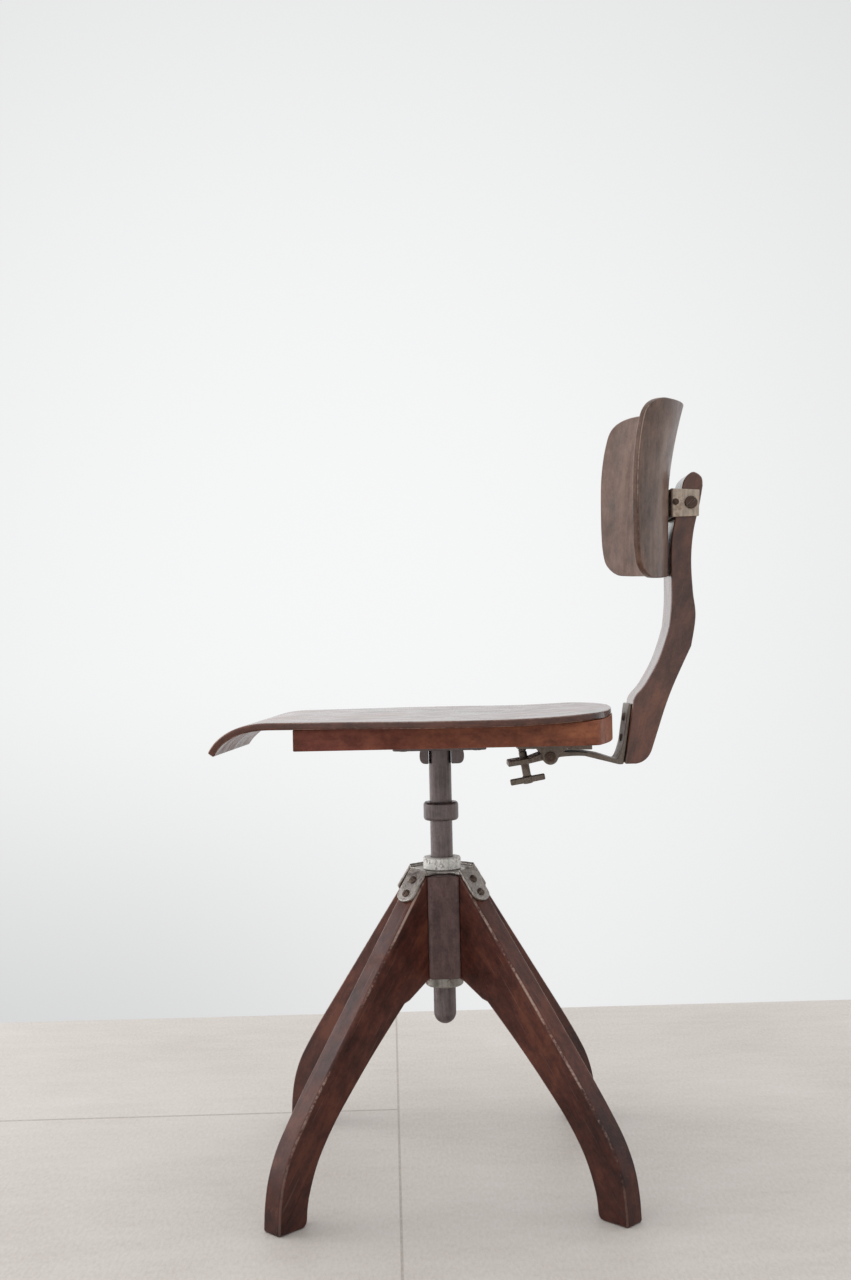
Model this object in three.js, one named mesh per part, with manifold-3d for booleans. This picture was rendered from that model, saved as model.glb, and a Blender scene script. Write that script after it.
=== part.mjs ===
// Swivelling drafting chair: four wooden legs around a wooden hub, a sliding steel post, a moulded
// plywood seat on a rail frame, and a plywood backrest on a wooden upright with a tilt screw.
// Millimetres, +Z up. The sitter faces -X. The design is drawn around the swivel axis at X = 0 and
// moved at the end, so that the origin lies on the floor in the middle of the whole chair.

import * as THREE from "three";
import { mergeVertices } from "three/addons/utils/BufferGeometryUtils.js";
import Module from "manifold-3d";

const wasm = await Module();
wasm.setup();

// ---- driving dimensions -------------------------------------------------------------------------

const GAP = 0.3; // between pieces that touch
const AXIS_TO_CENTRE = 27.9; // swivel axis to the middle of the chair's length

const LEG_THICK = 24;
const LEG_TURN = THREE.MathUtils.degToRad(0.6); // how far the legs stand off the diagonals
const HUB_BOTTOM = 203;
const HUB_TOP = 309;
const HUB_HALF = 36; // hub centre to a flat side
const SLOT_FLOOR = 26; // hub centre to the floor of a leg's slot
const SLEEVE_BORE = 12;

const POST_RADIUS = 11.7;
const POST_TIP = 149.5;
const SHOULDER = 438.9; // top of the post, under the seat plate
const COLLAR_BOTTOM = 363.5;
const COLLAR_TOP = 382.8;
const RING_TOP = 325;

const PLATE_BOTTOM = 439.2;
const PLATE_TOP = 443;
const BATTEN_BOTTOM = 443.3;
const BATTEN_HALF = 48;
const RAIL_BOTTOM = 447.8;
const RAIL_WIDTH = 22;
const FRAME_FRONT = -141.5;
const FRAME_HALF = 146;
const FRAME_SIDE_END = 141; // where the sides turn into the bowed rear
const FRAME_REAR = 179.2; // at the middle of the bow
const REAR_RAIL_INNER = 139.5;

const PLY = 7; // plywood of seat and backrest
const SEAT_TOP = 476;
const SEAT_FRONT = -223.7;
const SEAT_REAR = 178.6;
const SEAT_HALF = 185;
const RISE_FROM = 60; // the seat starts to sweep up here
const REAR_RISE = 5.5;
const LIP_TWIST = 0.02; // the lip hangs lower toward the sitter's right

const PIVOT = { x: 114.6, z: 428.7 }; // tilt pivot under the seat
const LEVER_HALF = 19.8;
const SCREW_TILT = THREE.MathUtils.degToRad(9.5);
const SCREW_AT = { x: 88.9, z: 423.5 }; // tilt screw axis in the lever's front arm

const UPRIGHT_HALF = 24;
const BOLT = { x: 265.8, z: 690.2 }; // backrest pivot bolt
const BACK_BOTTOM = 615;
const BACK_TOP = 793;
const BACK_ROLL = 0.063; // the backrest is mounted a little askew, higher at the sitter's right
const BACK_YAW = -0.006; // and a little further forward at the left
const BACK_RADIUS = 205;
const BACK_AXIS_X = 243.7; // rear face of the backrest at mid height

// ---- helpers ------------------------------------------------------------------------------------

// position-only copy with shared vertices merged and flat triangles dropped
function weld(geometry) {
  const bare = geometry.clone();
  bare.deleteAttribute("normal");
  bare.deleteAttribute("uv");
  bare.clearGroups();
  const merged = mergeVertices(bare, 1e-4);
  const kept = [];
  const index = merged.index.array;
  for (let i = 0; i < index.length; i += 3) {
    const [a, b, c] = [index[i], index[i + 1], index[i + 2]];
    if (a !== b && b !== c && c !== a) kept.push(a, b, c);
  }
  merged.setIndex(kept);
  return merged;
}

function toSolid(geometry) {
  const g = weld(geometry);
  const vertProperties = new Float32Array(g.attributes.position.array);
  const triVerts = new Uint32Array(g.index.array);
  return new wasm.Manifold(new wasm.Mesh({ numProp: 3, vertProperties, triVerts }));
}

function toGeometry(manifold) {
  const mesh = manifold.getMesh();
  const g = new THREE.BufferGeometry();
  g.setAttribute("position", new THREE.BufferAttribute(new Float32Array(mesh.vertProperties), 3));
  g.setIndex(new THREE.BufferAttribute(new Uint32Array(mesh.triVerts), 1));
  return g;
}

function cut(body, ...tools) {
  const result = tools.reduce((s, t) => s.subtract(toSolid(t)), toSolid(body));
  return toGeometry(result);
}

function join(...bodies) {
  return toGeometry(bodies.map(toSolid).reduce((a, b) => a.add(b)));
}

function common(a, b) {
  return toGeometry(toSolid(a).intersect(toSolid(b)));
}

function box(x0, x1, y0, y1, z0, z1) {
  const g = new THREE.BoxGeometry(x1 - x0, y1 - y0, z1 - z0);
  return g.translate((x0 + x1) / 2, (y0 + y1) / 2, (z0 + z1) / 2);
}

// outline in X and Z, extruded along Y
function prism(shape, y0, y1, curveSegments = 8) {
  const g = new THREE.ExtrudeGeometry(shape, { depth: y1 - y0, bevelEnabled: false, curveSegments });
  return g.rotateX(Math.PI / 2).translate(0, y1, 0);
}

// outline in X and Y, extruded along Z
function slab(shape, z0, z1, curveSegments = 8) {
  const g = new THREE.ExtrudeGeometry(shape, { depth: z1 - z0, bevelEnabled: false, curveSegments });
  return g.translate(0, 0, z0);
}

// profile of [radius, z] pairs turned about the Z axis
function turned(profile, segments = 24) {
  const points = profile.map(([r, z]) => new THREE.Vector2(r, z));
  return weld(new THREE.LatheGeometry(points, segments)).rotateX(Math.PI / 2);
}

// tube about the Z axis
function tube(inner, outer, z0, z1, segments = 24) {
  return turned([[inner, z0], [outer, z0], [outer, z1], [inner, z1], [inner, z0]], segments);
}

function disc(radius, z0, z1, segments = 16) {
  return turned([[0, z0], [radius, z0], [radius, z1], [0, z1]], segments);
}

// round bar along Y at a place in X and Z
function crossBar(radius, x, z, y0, y1, segments = 16) {
  return disc(radius, y0, y1, segments).rotateX(-Math.PI / 2).translate(x, 0, z);
}

// screw along Z: its head rests just above z = 0 and its shank runs down from there
function screw({ head, height, shank, length }) {
  const profile = [[0, -length], [shank, -length], [shank, GAP], [head, GAP], [head * 0.8, height]];
  return turned([...profile, [0, height]], 8);
}

// the hole for that screw
function drill({ shank, length }) {
  return disc(shank + GAP, -length - GAP, 3, 8);
}

function polygon(points) {
  return new THREE.Shape(points.map(([a, b]) => new THREE.Vector2(a, b)));
}

function vectors(points) {
  return points.map(([a, b]) => new THREE.Vector2(a, b));
}

// closed outline mirrored about the shape's own X axis, from one half of it
function mirrored(half, divisions) {
  const curve = new THREE.SplineCurve(vectors(half));
  const side = curve.getPoints(divisions);
  const other = side.slice(1, -1).reverse().map((p) => new THREE.Vector2(p.x, -p.y));
  return new THREE.Shape([...side, ...other]);
}

function part(name, geometry, color, roughness, metalness) {
  const material = new THREE.MeshStandardMaterial({ color, roughness, metalness });
  const mesh = new THREE.Mesh(geometry, material);
  mesh.name = name;
  return mesh;
}

const wood = (name, geometry) => part(name, geometry, 0x4b2c23, 0.45, 0);
const frameWood = (name, geometry) => part(name, geometry, 0x7d472c, 0.5, 0);
const plywood = (name, geometry) => part(name, geometry, 0x54362b, 0.4, 0);
const steel = (name, geometry) => part(name, geometry, 0x5a5654, 0.4, 0.9);
const wornSteel = (name, geometry) => part(name, geometry, 0x8d8880, 0.45, 0.85);
const bracketSteel = (name, geometry) => part(name, geometry, 0x6f675c, 0.5, 0.8);
const fastener = (name, geometry) => part(name, geometry, 0x4d3f36, 0.5, 0.8);

// one mesh for each of several alike pieces, numbered from 1
const numbered = (make, name, geometries) => geometries.map((g, i) => make(`${name}_${i + 1}`, g));

// ---- base: hub, legs, star plate, bearings -------------------------------------------------------

const quarterTurns = [0, 1, 2, 3].map((i) => (i * Math.PI) / 2);
const diagonal = (geometry, turn) => geometry.clone().rotateZ(turn + Math.PI / 4);

// the outer edge of a leg is straight above the knee: radius at a height
const KNEE = { r: 188.8, z: 122 };
const LEG_SLOPE = 0.8117;
const outerRadius = (z) => KNEE.r - LEG_SLOPE * (z - KNEE.z);
const LEG_TOP = HUB_TOP - GAP;
const SLOPE_ANGLE = Math.atan(1 / LEG_SLOPE); // below the horizontal
const STAR_THICK = 2.8;
const ARM_WIDTH = 24;
const DOWEL_HEIGHT = 250;
const DOWEL_RADIUS = 4;

// along a star arm's bent end, from the bend
const ARM_SCREW_PLACES = [11, 27];
const ARM_SCREW = { head: 4.2, height: 1.9, shank: 2, length: 16 };

// moves a thing drawn flat, lying on z = 0 and running out along X, onto a leg's sloping edge
function onSlope(geometry, lift) {
  const height = HUB_TOP + STAR_THICK;
  return geometry
    .clone()
    .translate(0, 0, lift)
    .rotateY(SLOPE_ANGLE)
    .translate(outerRadius(height), 0, height);
}

function onArm(tool) {
  const lift = STAR_THICK + GAP * 2;
  return ARM_SCREW_PLACES.map((along) => onSlope(tool.clone().translate(along, 0, 0), lift));
}

// a leg in its own plane: X is the distance from the swivel axis
function legShape() {
  const shape = new THREE.Shape();
  shape.moveTo(SLOT_FLOOR + GAP, LEG_TOP);
  shape.lineTo(outerRadius(LEG_TOP), LEG_TOP);
  shape.lineTo(KNEE.r, KNEE.z);
  shape.splineThru(vectors([[207.1, 97.9], [223.4, 73.8], [233.9, 49.7], [239, 25.5], [240.7, 4]]));
  shape.quadraticCurveTo(240.7, 0, 236.7, 0);
  shape.lineTo(212, 0);
  shape.quadraticCurveTo(205.5, 0, 205, 7);
  shape.splineThru(
    vectors([[202, 26.2], [190.2, 55.9], [169.7, 85.5], [142.1, 115.6], [111.5, 146], [70, 184]])
  );
  shape.lineTo(62.8, 186);
  shape.lineTo(38, 200.3);
  shape.lineTo(SLOT_FLOOR + GAP, HUB_BOTTOM + 1);
  return shape;
}

function dowel(slack = 0) {
  const g = disc(DOWEL_RADIUS + slack, 17.5 - slack, 52 + slack, 12);
  return g.rotateY(Math.PI / 2).translate(0, 0, DOWEL_HEIGHT);
}

function legGeometry() {
  const blank = prism(legShape(), -LEG_THICK / 2, LEG_THICK / 2, 4);
  return cut(blank, ...onArm(drill(ARM_SCREW)), dowel(GAP));
}

function makeLegs() {
  const names = ["leg_rear_right", "leg_front_right", "leg_front_left", "leg_rear_left"];
  return names.map((name, i) => {
    const leg = wood(name, legGeometry());
    leg.rotation.z = quarterTurns[i] + Math.PI / 4;
    return leg;
  });
}

// octagonal block with a slot at each corner for a leg, bored for the sleeve
function makeHub() {
  const flat = 13.5;
  const corner = [17.5, 34.5];
  const eighth = [[flat, HUB_HALF], corner, [corner[1], corner[0]], [HUB_HALF, flat]];
  const outline = [];
  for (const turn of quarterTurns) {
    for (const [a, b] of [...eighth].reverse()) {
      outline.push([a * Math.cos(turn) - b * Math.sin(turn), a * Math.sin(turn) + b * Math.cos(turn)]);
    }
  }
  const block = slab(polygon(outline), HUB_BOTTOM, HUB_TOP);
  const half = LEG_THICK / 2 + GAP;
  const slot = box(SLOT_FLOOR, 60, -half, half, HUB_BOTTOM - 5, HUB_TOP + 5);
  const tools = [disc(15 + GAP, HUB_BOTTOM - 5, HUB_TOP + 5, 24)];
  for (const turn of quarterTurns) {
    tools.push(diagonal(slot, turn), diagonal(dowel(GAP), turn));
  }
  return wood("hub_block", cut(block, ...tools));
}

function makeDowels() {
  return numbered(frameWood, "leg_dowel", quarterTurns.map((turn) => diagonal(dowel(), turn)));
}

// round plate on the hub with four arms that bend down over the legs' outer edges
function makeStarPlate() {
  const low = HUB_TOP + GAP;
  const high = HUB_TOP + STAR_THICK + GAP;
  const reach = outerRadius(high) + 1.6;
  const flat = box(10, reach, -ARM_WIDTH / 2, ARM_WIDTH / 2, low, high);
  const end = new THREE.Shape();
  const half = ARM_WIDTH / 2;
  end.moveTo(-1.5, -half);
  end.lineTo(26, -half);
  end.quadraticCurveTo(35, -half, 36.5, 0);
  end.quadraticCurveTo(35, half, 26, half);
  end.lineTo(-1.5, half);
  const bent = onSlope(slab(end, GAP * 2, STAR_THICK + GAP * 2, 5), 0);
  const arm = join(flat, bent);
  const plate = join(disc(24, low, high, 32), ...quarterTurns.map((turn) => diagonal(arm, turn)));
  const holes = quarterTurns.flatMap((turn) => onArm(drill(ARM_SCREW)).map((s) => diagonal(s, turn)));
  return wornSteel("star_plate", cut(plate, disc(SLEEVE_BORE, low - 5, high + 5, 24), ...holes));
}

function makeStarScrews() {
  const screws = quarterTurns.flatMap((turn) => onArm(screw(ARM_SCREW)).map((s) => diagonal(s, turn)));
  return numbered(fastener, "star_screw", screws);
}

function makeBase() {
  const base = new THREE.Group();
  const ringBottom = HUB_TOP + STAR_THICK + GAP * 2;
  base.add(...makeLegs(), makeHub(), ...makeDowels(), makeStarPlate(), ...makeStarScrews());
  base.add(steel("post_sleeve", tube(SLEEVE_BORE, 15, HUB_BOTTOM + GAP, HUB_TOP)));
  const lower = [[SLEEVE_BORE, 190], [18.6, 190], [20, 191.4], [20, HUB_BOTTOM - GAP]];
  lower.push([SLEEVE_BORE, HUB_BOTTOM - GAP], [SLEEVE_BORE, 190]);
  base.add(wornSteel("lower_bush", turned(lower)));
  const ring = [[SLEEVE_BORE, ringBottom], [19.8, ringBottom], [19.8, RING_TOP - 1.2]];
  ring.push([18.6, RING_TOP], [SLEEVE_BORE, RING_TOP], [SLEEVE_BORE, ringBottom]);
  base.add(wornSteel("clamp_ring", turned(ring)));
  base.rotation.z = LEG_TURN;
  return base;
}

// ---- post ---------------------------------------------------------------------------------------

const SPIGOT_RADIUS = 7;

function makePost() {
  const dome = [];
  for (let i = 0; i <= 6; i++) {
    const a = (i / 6) * (Math.PI / 2);
    dome.push([POST_RADIUS * Math.sin(a), POST_TIP + POST_RADIUS * (1 - Math.cos(a))]);
  }
  const top = [[POST_RADIUS, SHOULDER], [SPIGOT_RADIUS, SHOULDER], [SPIGOT_RADIUS, 455], [0, 455]];
  return steel("post", turned([...dome, ...top]));
}

function makeStopCollar() {
  const bore = POST_RADIUS + GAP;
  const profile = [[bore, COLLAR_BOTTOM], [17, COLLAR_BOTTOM], [18.4, COLLAR_BOTTOM + 2]];
  profile.push([18.4, COLLAR_TOP - 2], [17, COLLAR_TOP], [bore, COLLAR_TOP], [bore, COLLAR_BOTTOM]);
  const middle = (COLLAR_BOTTOM + COLLAR_TOP) / 2;
  const hole = disc(3.3, bore - 3, 25, 12).rotateX(-Math.PI / 2).translate(0, 0, middle);
  return steel("stop_collar", cut(turned(profile), hole));
}

function makeCollarScrew() {
  const middle = (COLLAR_BOTTOM + COLLAR_TOP) / 2;
  const g = disc(3, POST_RADIUS + GAP, 18, 12);
  return fastener("collar_set_screw", g.rotateX(-Math.PI / 2).translate(0, 0, middle));
}

function makeSpigotNut() {
  const hexagon = new THREE.Shape();
  for (let i = 0; i < 6; i++) {
    const a = (i * Math.PI) / 3;
    const point = [12.5 * Math.cos(a), 12.5 * Math.sin(a)];
    if (i) hexagon.lineTo(...point);
    else hexagon.moveTo(...point);
  }
  const bore = disc(SPIGOT_RADIUS + GAP, 440, 460, 24);
  return fastener("spigot_nut", cut(slab(hexagon, 445.7, 453.5), bore));
}

function makePostGroup() {
  const group = new THREE.Group();
  group.add(makePost(), makeStopCollar(), makeCollarScrew(), makeSpigotNut());
  group.add(steel("spigot_washer", tube(SPIGOT_RADIUS + GAP, 14, PLATE_TOP + GAP, 445.4, 24)));
  return group;
}

// ---- seat: plate, frame, shell, tilt bracket -------------------------------------------------------

// how far the seat has risen above its flat middle at x
const rise = (x) => REAR_RISE * (Math.max(0, x - RISE_FROM) / (SEAT_REAR - RISE_FROM)) ** 2;
const underside = (x) => SEAT_TOP - PLY - GAP + rise(x);

// side view of a rail from x0 to x1, its top following the seat
function railShape(x0, x1, bottom) {
  const shape = new THREE.Shape();
  shape.moveTo(x0, bottom);
  shape.lineTo(x1, bottom);
  const curveStart = Math.max(x0, RISE_FROM);
  const steps = 6;
  for (let i = steps; i >= 0 && x1 > RISE_FROM; i--) {
    const x = curveStart + ((x1 - curveStart) * i) / steps;
    shape.lineTo(x, underside(x));
  }
  if (x1 <= RISE_FROM) shape.lineTo(x1, underside(x1));
  if (x0 < RISE_FROM) shape.lineTo(x0, underside(x0));
  return shape;
}

// the frame in plan: straight front and sides, bowed rear with rounded corners
function frameOutline() {
  const shape = new THREE.Shape();
  shape.moveTo(FRAME_FRONT, -FRAME_HALF);
  shape.lineTo(FRAME_SIDE_END, -FRAME_HALF);
  shape.quadraticCurveTo(FRAME_SIDE_END + 11, -FRAME_HALF, FRAME_SIDE_END + 14, -FRAME_HALF + 10);
  shape.quadraticCurveTo(FRAME_REAR, -FRAME_HALF / 2, FRAME_REAR, 0);
  shape.quadraticCurveTo(FRAME_REAR, FRAME_HALF / 2, FRAME_SIDE_END + 14, FRAME_HALF - 10);
  shape.quadraticCurveTo(FRAME_SIDE_END + 11, FRAME_HALF, FRAME_SIDE_END, FRAME_HALF);
  shape.lineTo(FRAME_FRONT, FRAME_HALF);
  return shape;
}

function makeRails() {
  const inner = FRAME_HALF - RAIL_WIDTH;
  const outline = slab(frameOutline(), 440, 490, 10);
  const full = railShape(FRAME_FRONT, FRAME_REAR + 1, RAIL_BOTTOM);
  const front = railShape(FRAME_FRONT, FRAME_FRONT + RAIL_WIDTH, RAIL_BOTTOM);
  const rear = railShape(REAR_RAIL_INNER, FRAME_REAR + 1, RAIL_BOTTOM);
  return [
    frameWood("side_rail_left", common(prism(full, -FRAME_HALF - 1, -inner), outline)),
    frameWood("side_rail_right", common(prism(full, inner, FRAME_HALF + 1), outline)),
    frameWood("front_rail", prism(front, -inner + GAP, inner - GAP)),
    frameWood("rear_rail", common(prism(rear, -inner + GAP, inner - GAP), outline)),
  ];
}

// wide board down the middle of the frame, recessed below for the spigot nut
function makeBatten() {
  const x0 = FRAME_FRONT + RAIL_WIDTH + GAP;
  const x1 = REAR_RAIL_INNER - GAP;
  const board = prism(railShape(x0, x1, BATTEN_BOTTOM), -BATTEN_HALF, BATTEN_HALF);
  const recess = disc(17, BATTEN_BOTTOM - 3, 458, 24);
  const tools = [...onPlate(drill(UNDER_SCREW)), ...onBracket(drill(UNDER_SCREW))];
  return frameWood("centre_batten", cut(board, recess, ...tools));
}

// cast plate under the batten with two lugs beside the top of the post
function makeSeatPlate() {
  const half = 48.2;
  const flat = new THREE.Shape();
  flat.moveTo(-half + 6, -half);
  flat.lineTo(half - 6, -half);
  flat.quadraticCurveTo(half, -half, half, -half + 6);
  flat.lineTo(half, half - 6);
  flat.quadraticCurveTo(half, half, half - 6, half);
  flat.lineTo(-half + 6, half);
  flat.quadraticCurveTo(-half, half, -half, half - 6);
  flat.lineTo(-half, -half + 6);
  flat.quadraticCurveTo(-half, -half, -half + 6, -half);
  const lug = (outer) => {
    const low = 422.8;
    const shape = new THREE.Shape();
    shape.moveTo(POST_RADIUS + GAP, PLATE_BOTTOM + 1);
    shape.lineTo(POST_RADIUS + GAP, low);
    shape.lineTo(outer - 6.5, low);
    shape.quadraticCurveTo(outer, low, outer, low + 8);
    shape.quadraticCurveTo(outer, PLATE_BOTTOM - 2, outer - 3, PLATE_BOTTOM + 1);
    return prism(shape, -8, 8, 5);
  };
  const left = lug(21.4).rotateZ(Math.PI);
  const bore = disc(SPIGOT_RADIUS + GAP, 430, 450, 24);
  const board = slab(flat, PLATE_BOTTOM, PLATE_TOP, 4).translate(-0.7, 0, 0);
  const plate = join(board, left, lug(25.4));
  return steel("seat_plate", cut(plate, bore, ...onPlate(drill(UNDER_SCREW))));
}

const UNDER_SCREW = { head: 4.2, height: 0.9, shank: 2, length: 17 };

// turns a screw or drill over, so that it goes up from under the plates, and copies it to places
function fromBelow(tool, places, z) {
  return places.map(([x, y]) => tool.clone().rotateX(Math.PI).translate(x, y, z));
}

function onPlate(tool) {
  const at = 38;
  return fromBelow(tool, [[-at, -at], [at, -at], [at, at], [-at, at]], PLATE_BOTTOM);
}

const BRACKET_FRONT = 80.5;
const BRACKET_BOTTOM = 437.4;
const BRACKET_REAR = 158.3;
const EAR_IN = 20.5;
const EAR_OUT = 24;
const EAR_RADIUS = 8.2;

function onBracket(tool) {
  return fromBelow(tool, [[98, -10], [98, 10], [128, -10], [128, 10]], BRACKET_BOTTOM);
}

// base plate under the batten, two ears around the lever, and a stop bar at the rear
function makeTiltBracket() {
  const base = box(BRACKET_FRONT, BRACKET_REAR, -EAR_OUT, EAR_OUT, BRACKET_BOTTOM, PLATE_TOP);
  const stop = box(134, BRACKET_REAR, -EAR_OUT, EAR_OUT, 435.6, PLATE_BOTTOM + 1);
  const ear = new THREE.Shape();
  ear.moveTo(PIVOT.x - 16, PLATE_BOTTOM + 1);
  ear.lineTo(PIVOT.x - EAR_RADIUS, PIVOT.z + 2);
  ear.lineTo(PIVOT.x - EAR_RADIUS, PIVOT.z);
  ear.absarc(PIVOT.x, PIVOT.z, EAR_RADIUS, Math.PI, 2 * Math.PI, false);
  ear.lineTo(PIVOT.x + EAR_RADIUS, PIVOT.z + 2);
  ear.lineTo(PIVOT.x + 24, PLATE_BOTTOM + 1);
  const left = prism(ear, -EAR_OUT, -EAR_IN);
  const right = prism(ear, EAR_IN, EAR_OUT);
  const pin = crossBar(4 + GAP, PIVOT.x, PIVOT.z, -40, 40);
  const bracket = join(base, stop, left, right);
  return bracketSteel("tilt_bracket", cut(bracket, pin, ...onBracket(drill(UNDER_SCREW))));
}

function makePivotPin() {
  const end = EAR_OUT + GAP;
  const pin = crossBar(4, PIVOT.x, PIVOT.z, -end - 1, end + 1);
  const heads = [-end - 2.2, end].map((y) => crossBar(5.6, PIVOT.x, PIVOT.z, y, y + 2.2));
  return fastener("tilt_pivot_pin", join(pin, ...heads));
}

// half of the seat's outline in plan, from the lip round to the rear
const SEAT_OUTLINE = [
  [SEAT_FRONT - 3, 0], [SEAT_FRONT - 2, 90], [SEAT_FRONT, 131], [-214, 145], [-182, 151.5],
  [-110, 162], [-40, 179], [10, SEAT_HALF], [55, 180], [95, 167], [135, 151], [155.5, 132], [168, 92],
  [175.8, 45], [SEAT_REAR, 0],
];

// side view of the moulded seat: waterfall lip at the front, swept up at the rear
function seatShape() {
  const middle = (RISE_FROM + SEAT_REAR) / 2;
  const low = SEAT_TOP - PLY;
  const shape = new THREE.Shape();
  shape.moveTo(SEAT_REAR, SEAT_TOP + REAR_RISE);
  shape.quadraticCurveTo(middle, SEAT_TOP, RISE_FROM, SEAT_TOP);
  shape.lineTo(-165, SEAT_TOP);
  shape.bezierCurveTo(-191, SEAT_TOP, -213, 466.5, SEAT_FRONT, 449.2);
  shape.quadraticCurveTo(SEAT_FRONT + 1.5, 444.4, SEAT_FRONT + 6.8, 444.4);
  shape.bezierCurveTo(-208.5, 460.6, -190.5, low, -163, low);
  shape.lineTo(RISE_FROM, low);
  shape.quadraticCurveTo(middle, low, SEAT_REAR, low + REAR_RISE);
  return shape;
}

function makeSeatShell() {
  const swept = prism(seatShape(), -SEAT_HALF - 5, SEAT_HALF + 5, 12);
  const outline = slab(mirrored(SEAT_OUTLINE, 40), 430, 500);
  const shell = common(swept, outline);
  const at = shell.attributes.position;
  for (let i = 0; i < at.count; i++) {
    const share = THREE.MathUtils.smoothstep(-at.getX(i), 150, 215);
    at.setZ(i, at.getZ(i) - LIP_TWIST * share * Math.max(0, at.getY(i) + 130));
  }
  return plywood("seat_shell", shell);
}

function makeSeat() {
  const seat = new THREE.Group();
  seat.add(makeSeatPlate(), makeBatten(), ...makeRails(), makeSeatShell());
  seat.add(makeTiltBracket(), makePivotPin());
  seat.add(...numbered(fastener, "seat_plate_screw", onPlate(screw(UNDER_SCREW))));
  seat.add(...numbered(fastener, "tilt_bracket_screw", onBracket(screw(UNDER_SCREW))));
  return seat;
}

// ---- tilt lever, upright and tilt screw -------------------------------------------------------------

const UPRIGHT_SCREW_HEIGHTS = [446, 468];
const UPRIGHT_SCREW = { head: 4.4, height: 2, shank: 2.1, length: 20 };
const STRAP = 3.6;
const STRAP_BACK = 0.5; // from the strap's rear face to the upright

// the strap lies on the upright's front face, which leans back with height
const UPRIGHT_LEAN = 0.1535;
const uprightFront = (z) => 191.8 + (z - 419.6) * UPRIGHT_LEAN;

function onStrap(tool) {
  const square = tool.clone().rotateY(Math.atan(UPRIGHT_LEAN) - Math.PI / 2);
  return UPRIGHT_SCREW_HEIGHTS.map((z) => {
    return square.clone().translate(uprightFront(z) - STRAP_BACK - STRAP, 0, z);
  });
}

// the tilt screw's frame: origin in the lever's front arm, Z up along the screw
function alongScrew(geometry) {
  return geometry.rotateY(-SCREW_TILT).translate(SCREW_AT.x, 0, SCREW_AT.z);
}

// flat steel strap: front arm, knuckle round the pivot pin, rear arm, bend up the upright
function makeLever() {
  const top = 482;
  const shape = new THREE.Shape();
  shape.moveTo(71.2, 418.8);
  shape.lineTo(93.5, 422);
  shape.lineTo(PIVOT.x - 7, PIVOT.z - 3.6);
  shape.quadraticCurveTo(PIVOT.x - 2, PIVOT.z - 7.4, PIVOT.x + 3, PIVOT.z - 6.4);
  shape.quadraticCurveTo(PIVOT.x + 7, PIVOT.z - 5, 124, 428);
  shape.quadraticCurveTo(140, 429.6, 151, 428.6);
  shape.lineTo(184.1, 419.8);
  shape.quadraticCurveTo(188, 418.6, 191, 419.6);
  shape.lineTo(uprightFront(443) - STRAP_BACK, 443);
  shape.lineTo(uprightFront(top) - STRAP_BACK, top);
  shape.lineTo(uprightFront(top) - STRAP_BACK - STRAP, top);
  shape.lineTo(uprightFront(443) - STRAP_BACK - STRAP, 443);
  shape.quadraticCurveTo(186.5, 425, 183, 424.6);
  shape.lineTo(167, 430);
  shape.quadraticCurveTo(151, 433.6, 136, 433.4);
  shape.lineTo(PIVOT.x + 4, 434.6);
  shape.quadraticCurveTo(PIVOT.x - 3, 435.8, PIVOT.x - 8, 432.4);
  shape.lineTo(93.6, 427.6);
  shape.lineTo(71.4, 424.2);
  const blank = prism(shape, -LEVER_HALF, LEVER_HALF);
  const pinHole = crossBar(4 + GAP, PIVOT.x, PIVOT.z, -40, 40);
  const screwHole = alongScrew(disc(4.7, -12, 12, 20));
  return bracketSteel("tilt_lever", cut(blank, pinHole, screwHole, ...onStrap(drill(UPRIGHT_SCREW))));
}

// S-curved wooden upright with a rounded top
function makeUpright() {
  const shape = new THREE.Shape();
  shape.moveTo(192, 419.8);
  shape.lineTo(uprightFront(486), 486);
  shape.splineThru(
    vectors([[205, 491.5], [214.4, 502.4], [227.4, 524.4], [235.6, 544.9], [241, 562.4]])
  );
  shape.splineThru(vectors([[243.8, 590], [244.5, 633], [246, 656], [249.8, 674]]));
  shape.lineTo(257, 702);
  shape.splineThru(vectors([[260.2, 714.6], [269.4, 722.4], [278.2, 717], [279.5, 708]]));
  shape.splineThru(
    vectors([[275.7, 688.5], [268.7, 659.4], [265.8, 630.3], [266.8, 598.5], [269, 572], [263.8, 541.2]])
  );
  shape.splineThru(vectors([[245.5, 503.3], [235.3, 478.1], [226.9, 453.3], [220.2, 433.4]]));
  shape.quadraticCurveTo(215.5, 421.5, 203.8, 419.8);
  const blank = prism(shape, -UPRIGHT_HALF, UPRIGHT_HALF, 4);
  const boltHole = crossBar(4 + GAP, BOLT.x, BOLT.z, -40, 40);
  return wood("back_upright", cut(blank, boltHole, ...onStrap(drill(UPRIGHT_SCREW))));
}

// T-handled screw: shank through the lever, tapered bar and boss below
function makeTiltScrew() {
  const shank = turned([[0, -24], [5, -24], [6.2, -22.6], [6.2, -17.6], [4.3, -15.6], [4.3, 10], [0, 10]], 20);
  const bar = new THREE.Shape();
  bar.moveTo(-18.5, -2.6);
  bar.quadraticCurveTo(0, -5.4, 18.5, -2.6);
  bar.lineTo(18.5, 2.6);
  bar.quadraticCurveTo(0, 5.4, -18.5, 2.6);
  const handle = slab(bar, -23.2, -16.8, 5);
  return wornSteel("tilt_screw", alongScrew(join(shank, handle)));
}

function makeScrewFoot() {
  return bracketSteel("screw_foot", alongScrew(disc(4.2, 10 + GAP, 12.9, 20)));
}

// ---- backrest ---------------------------------------------------------------------------------------

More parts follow.
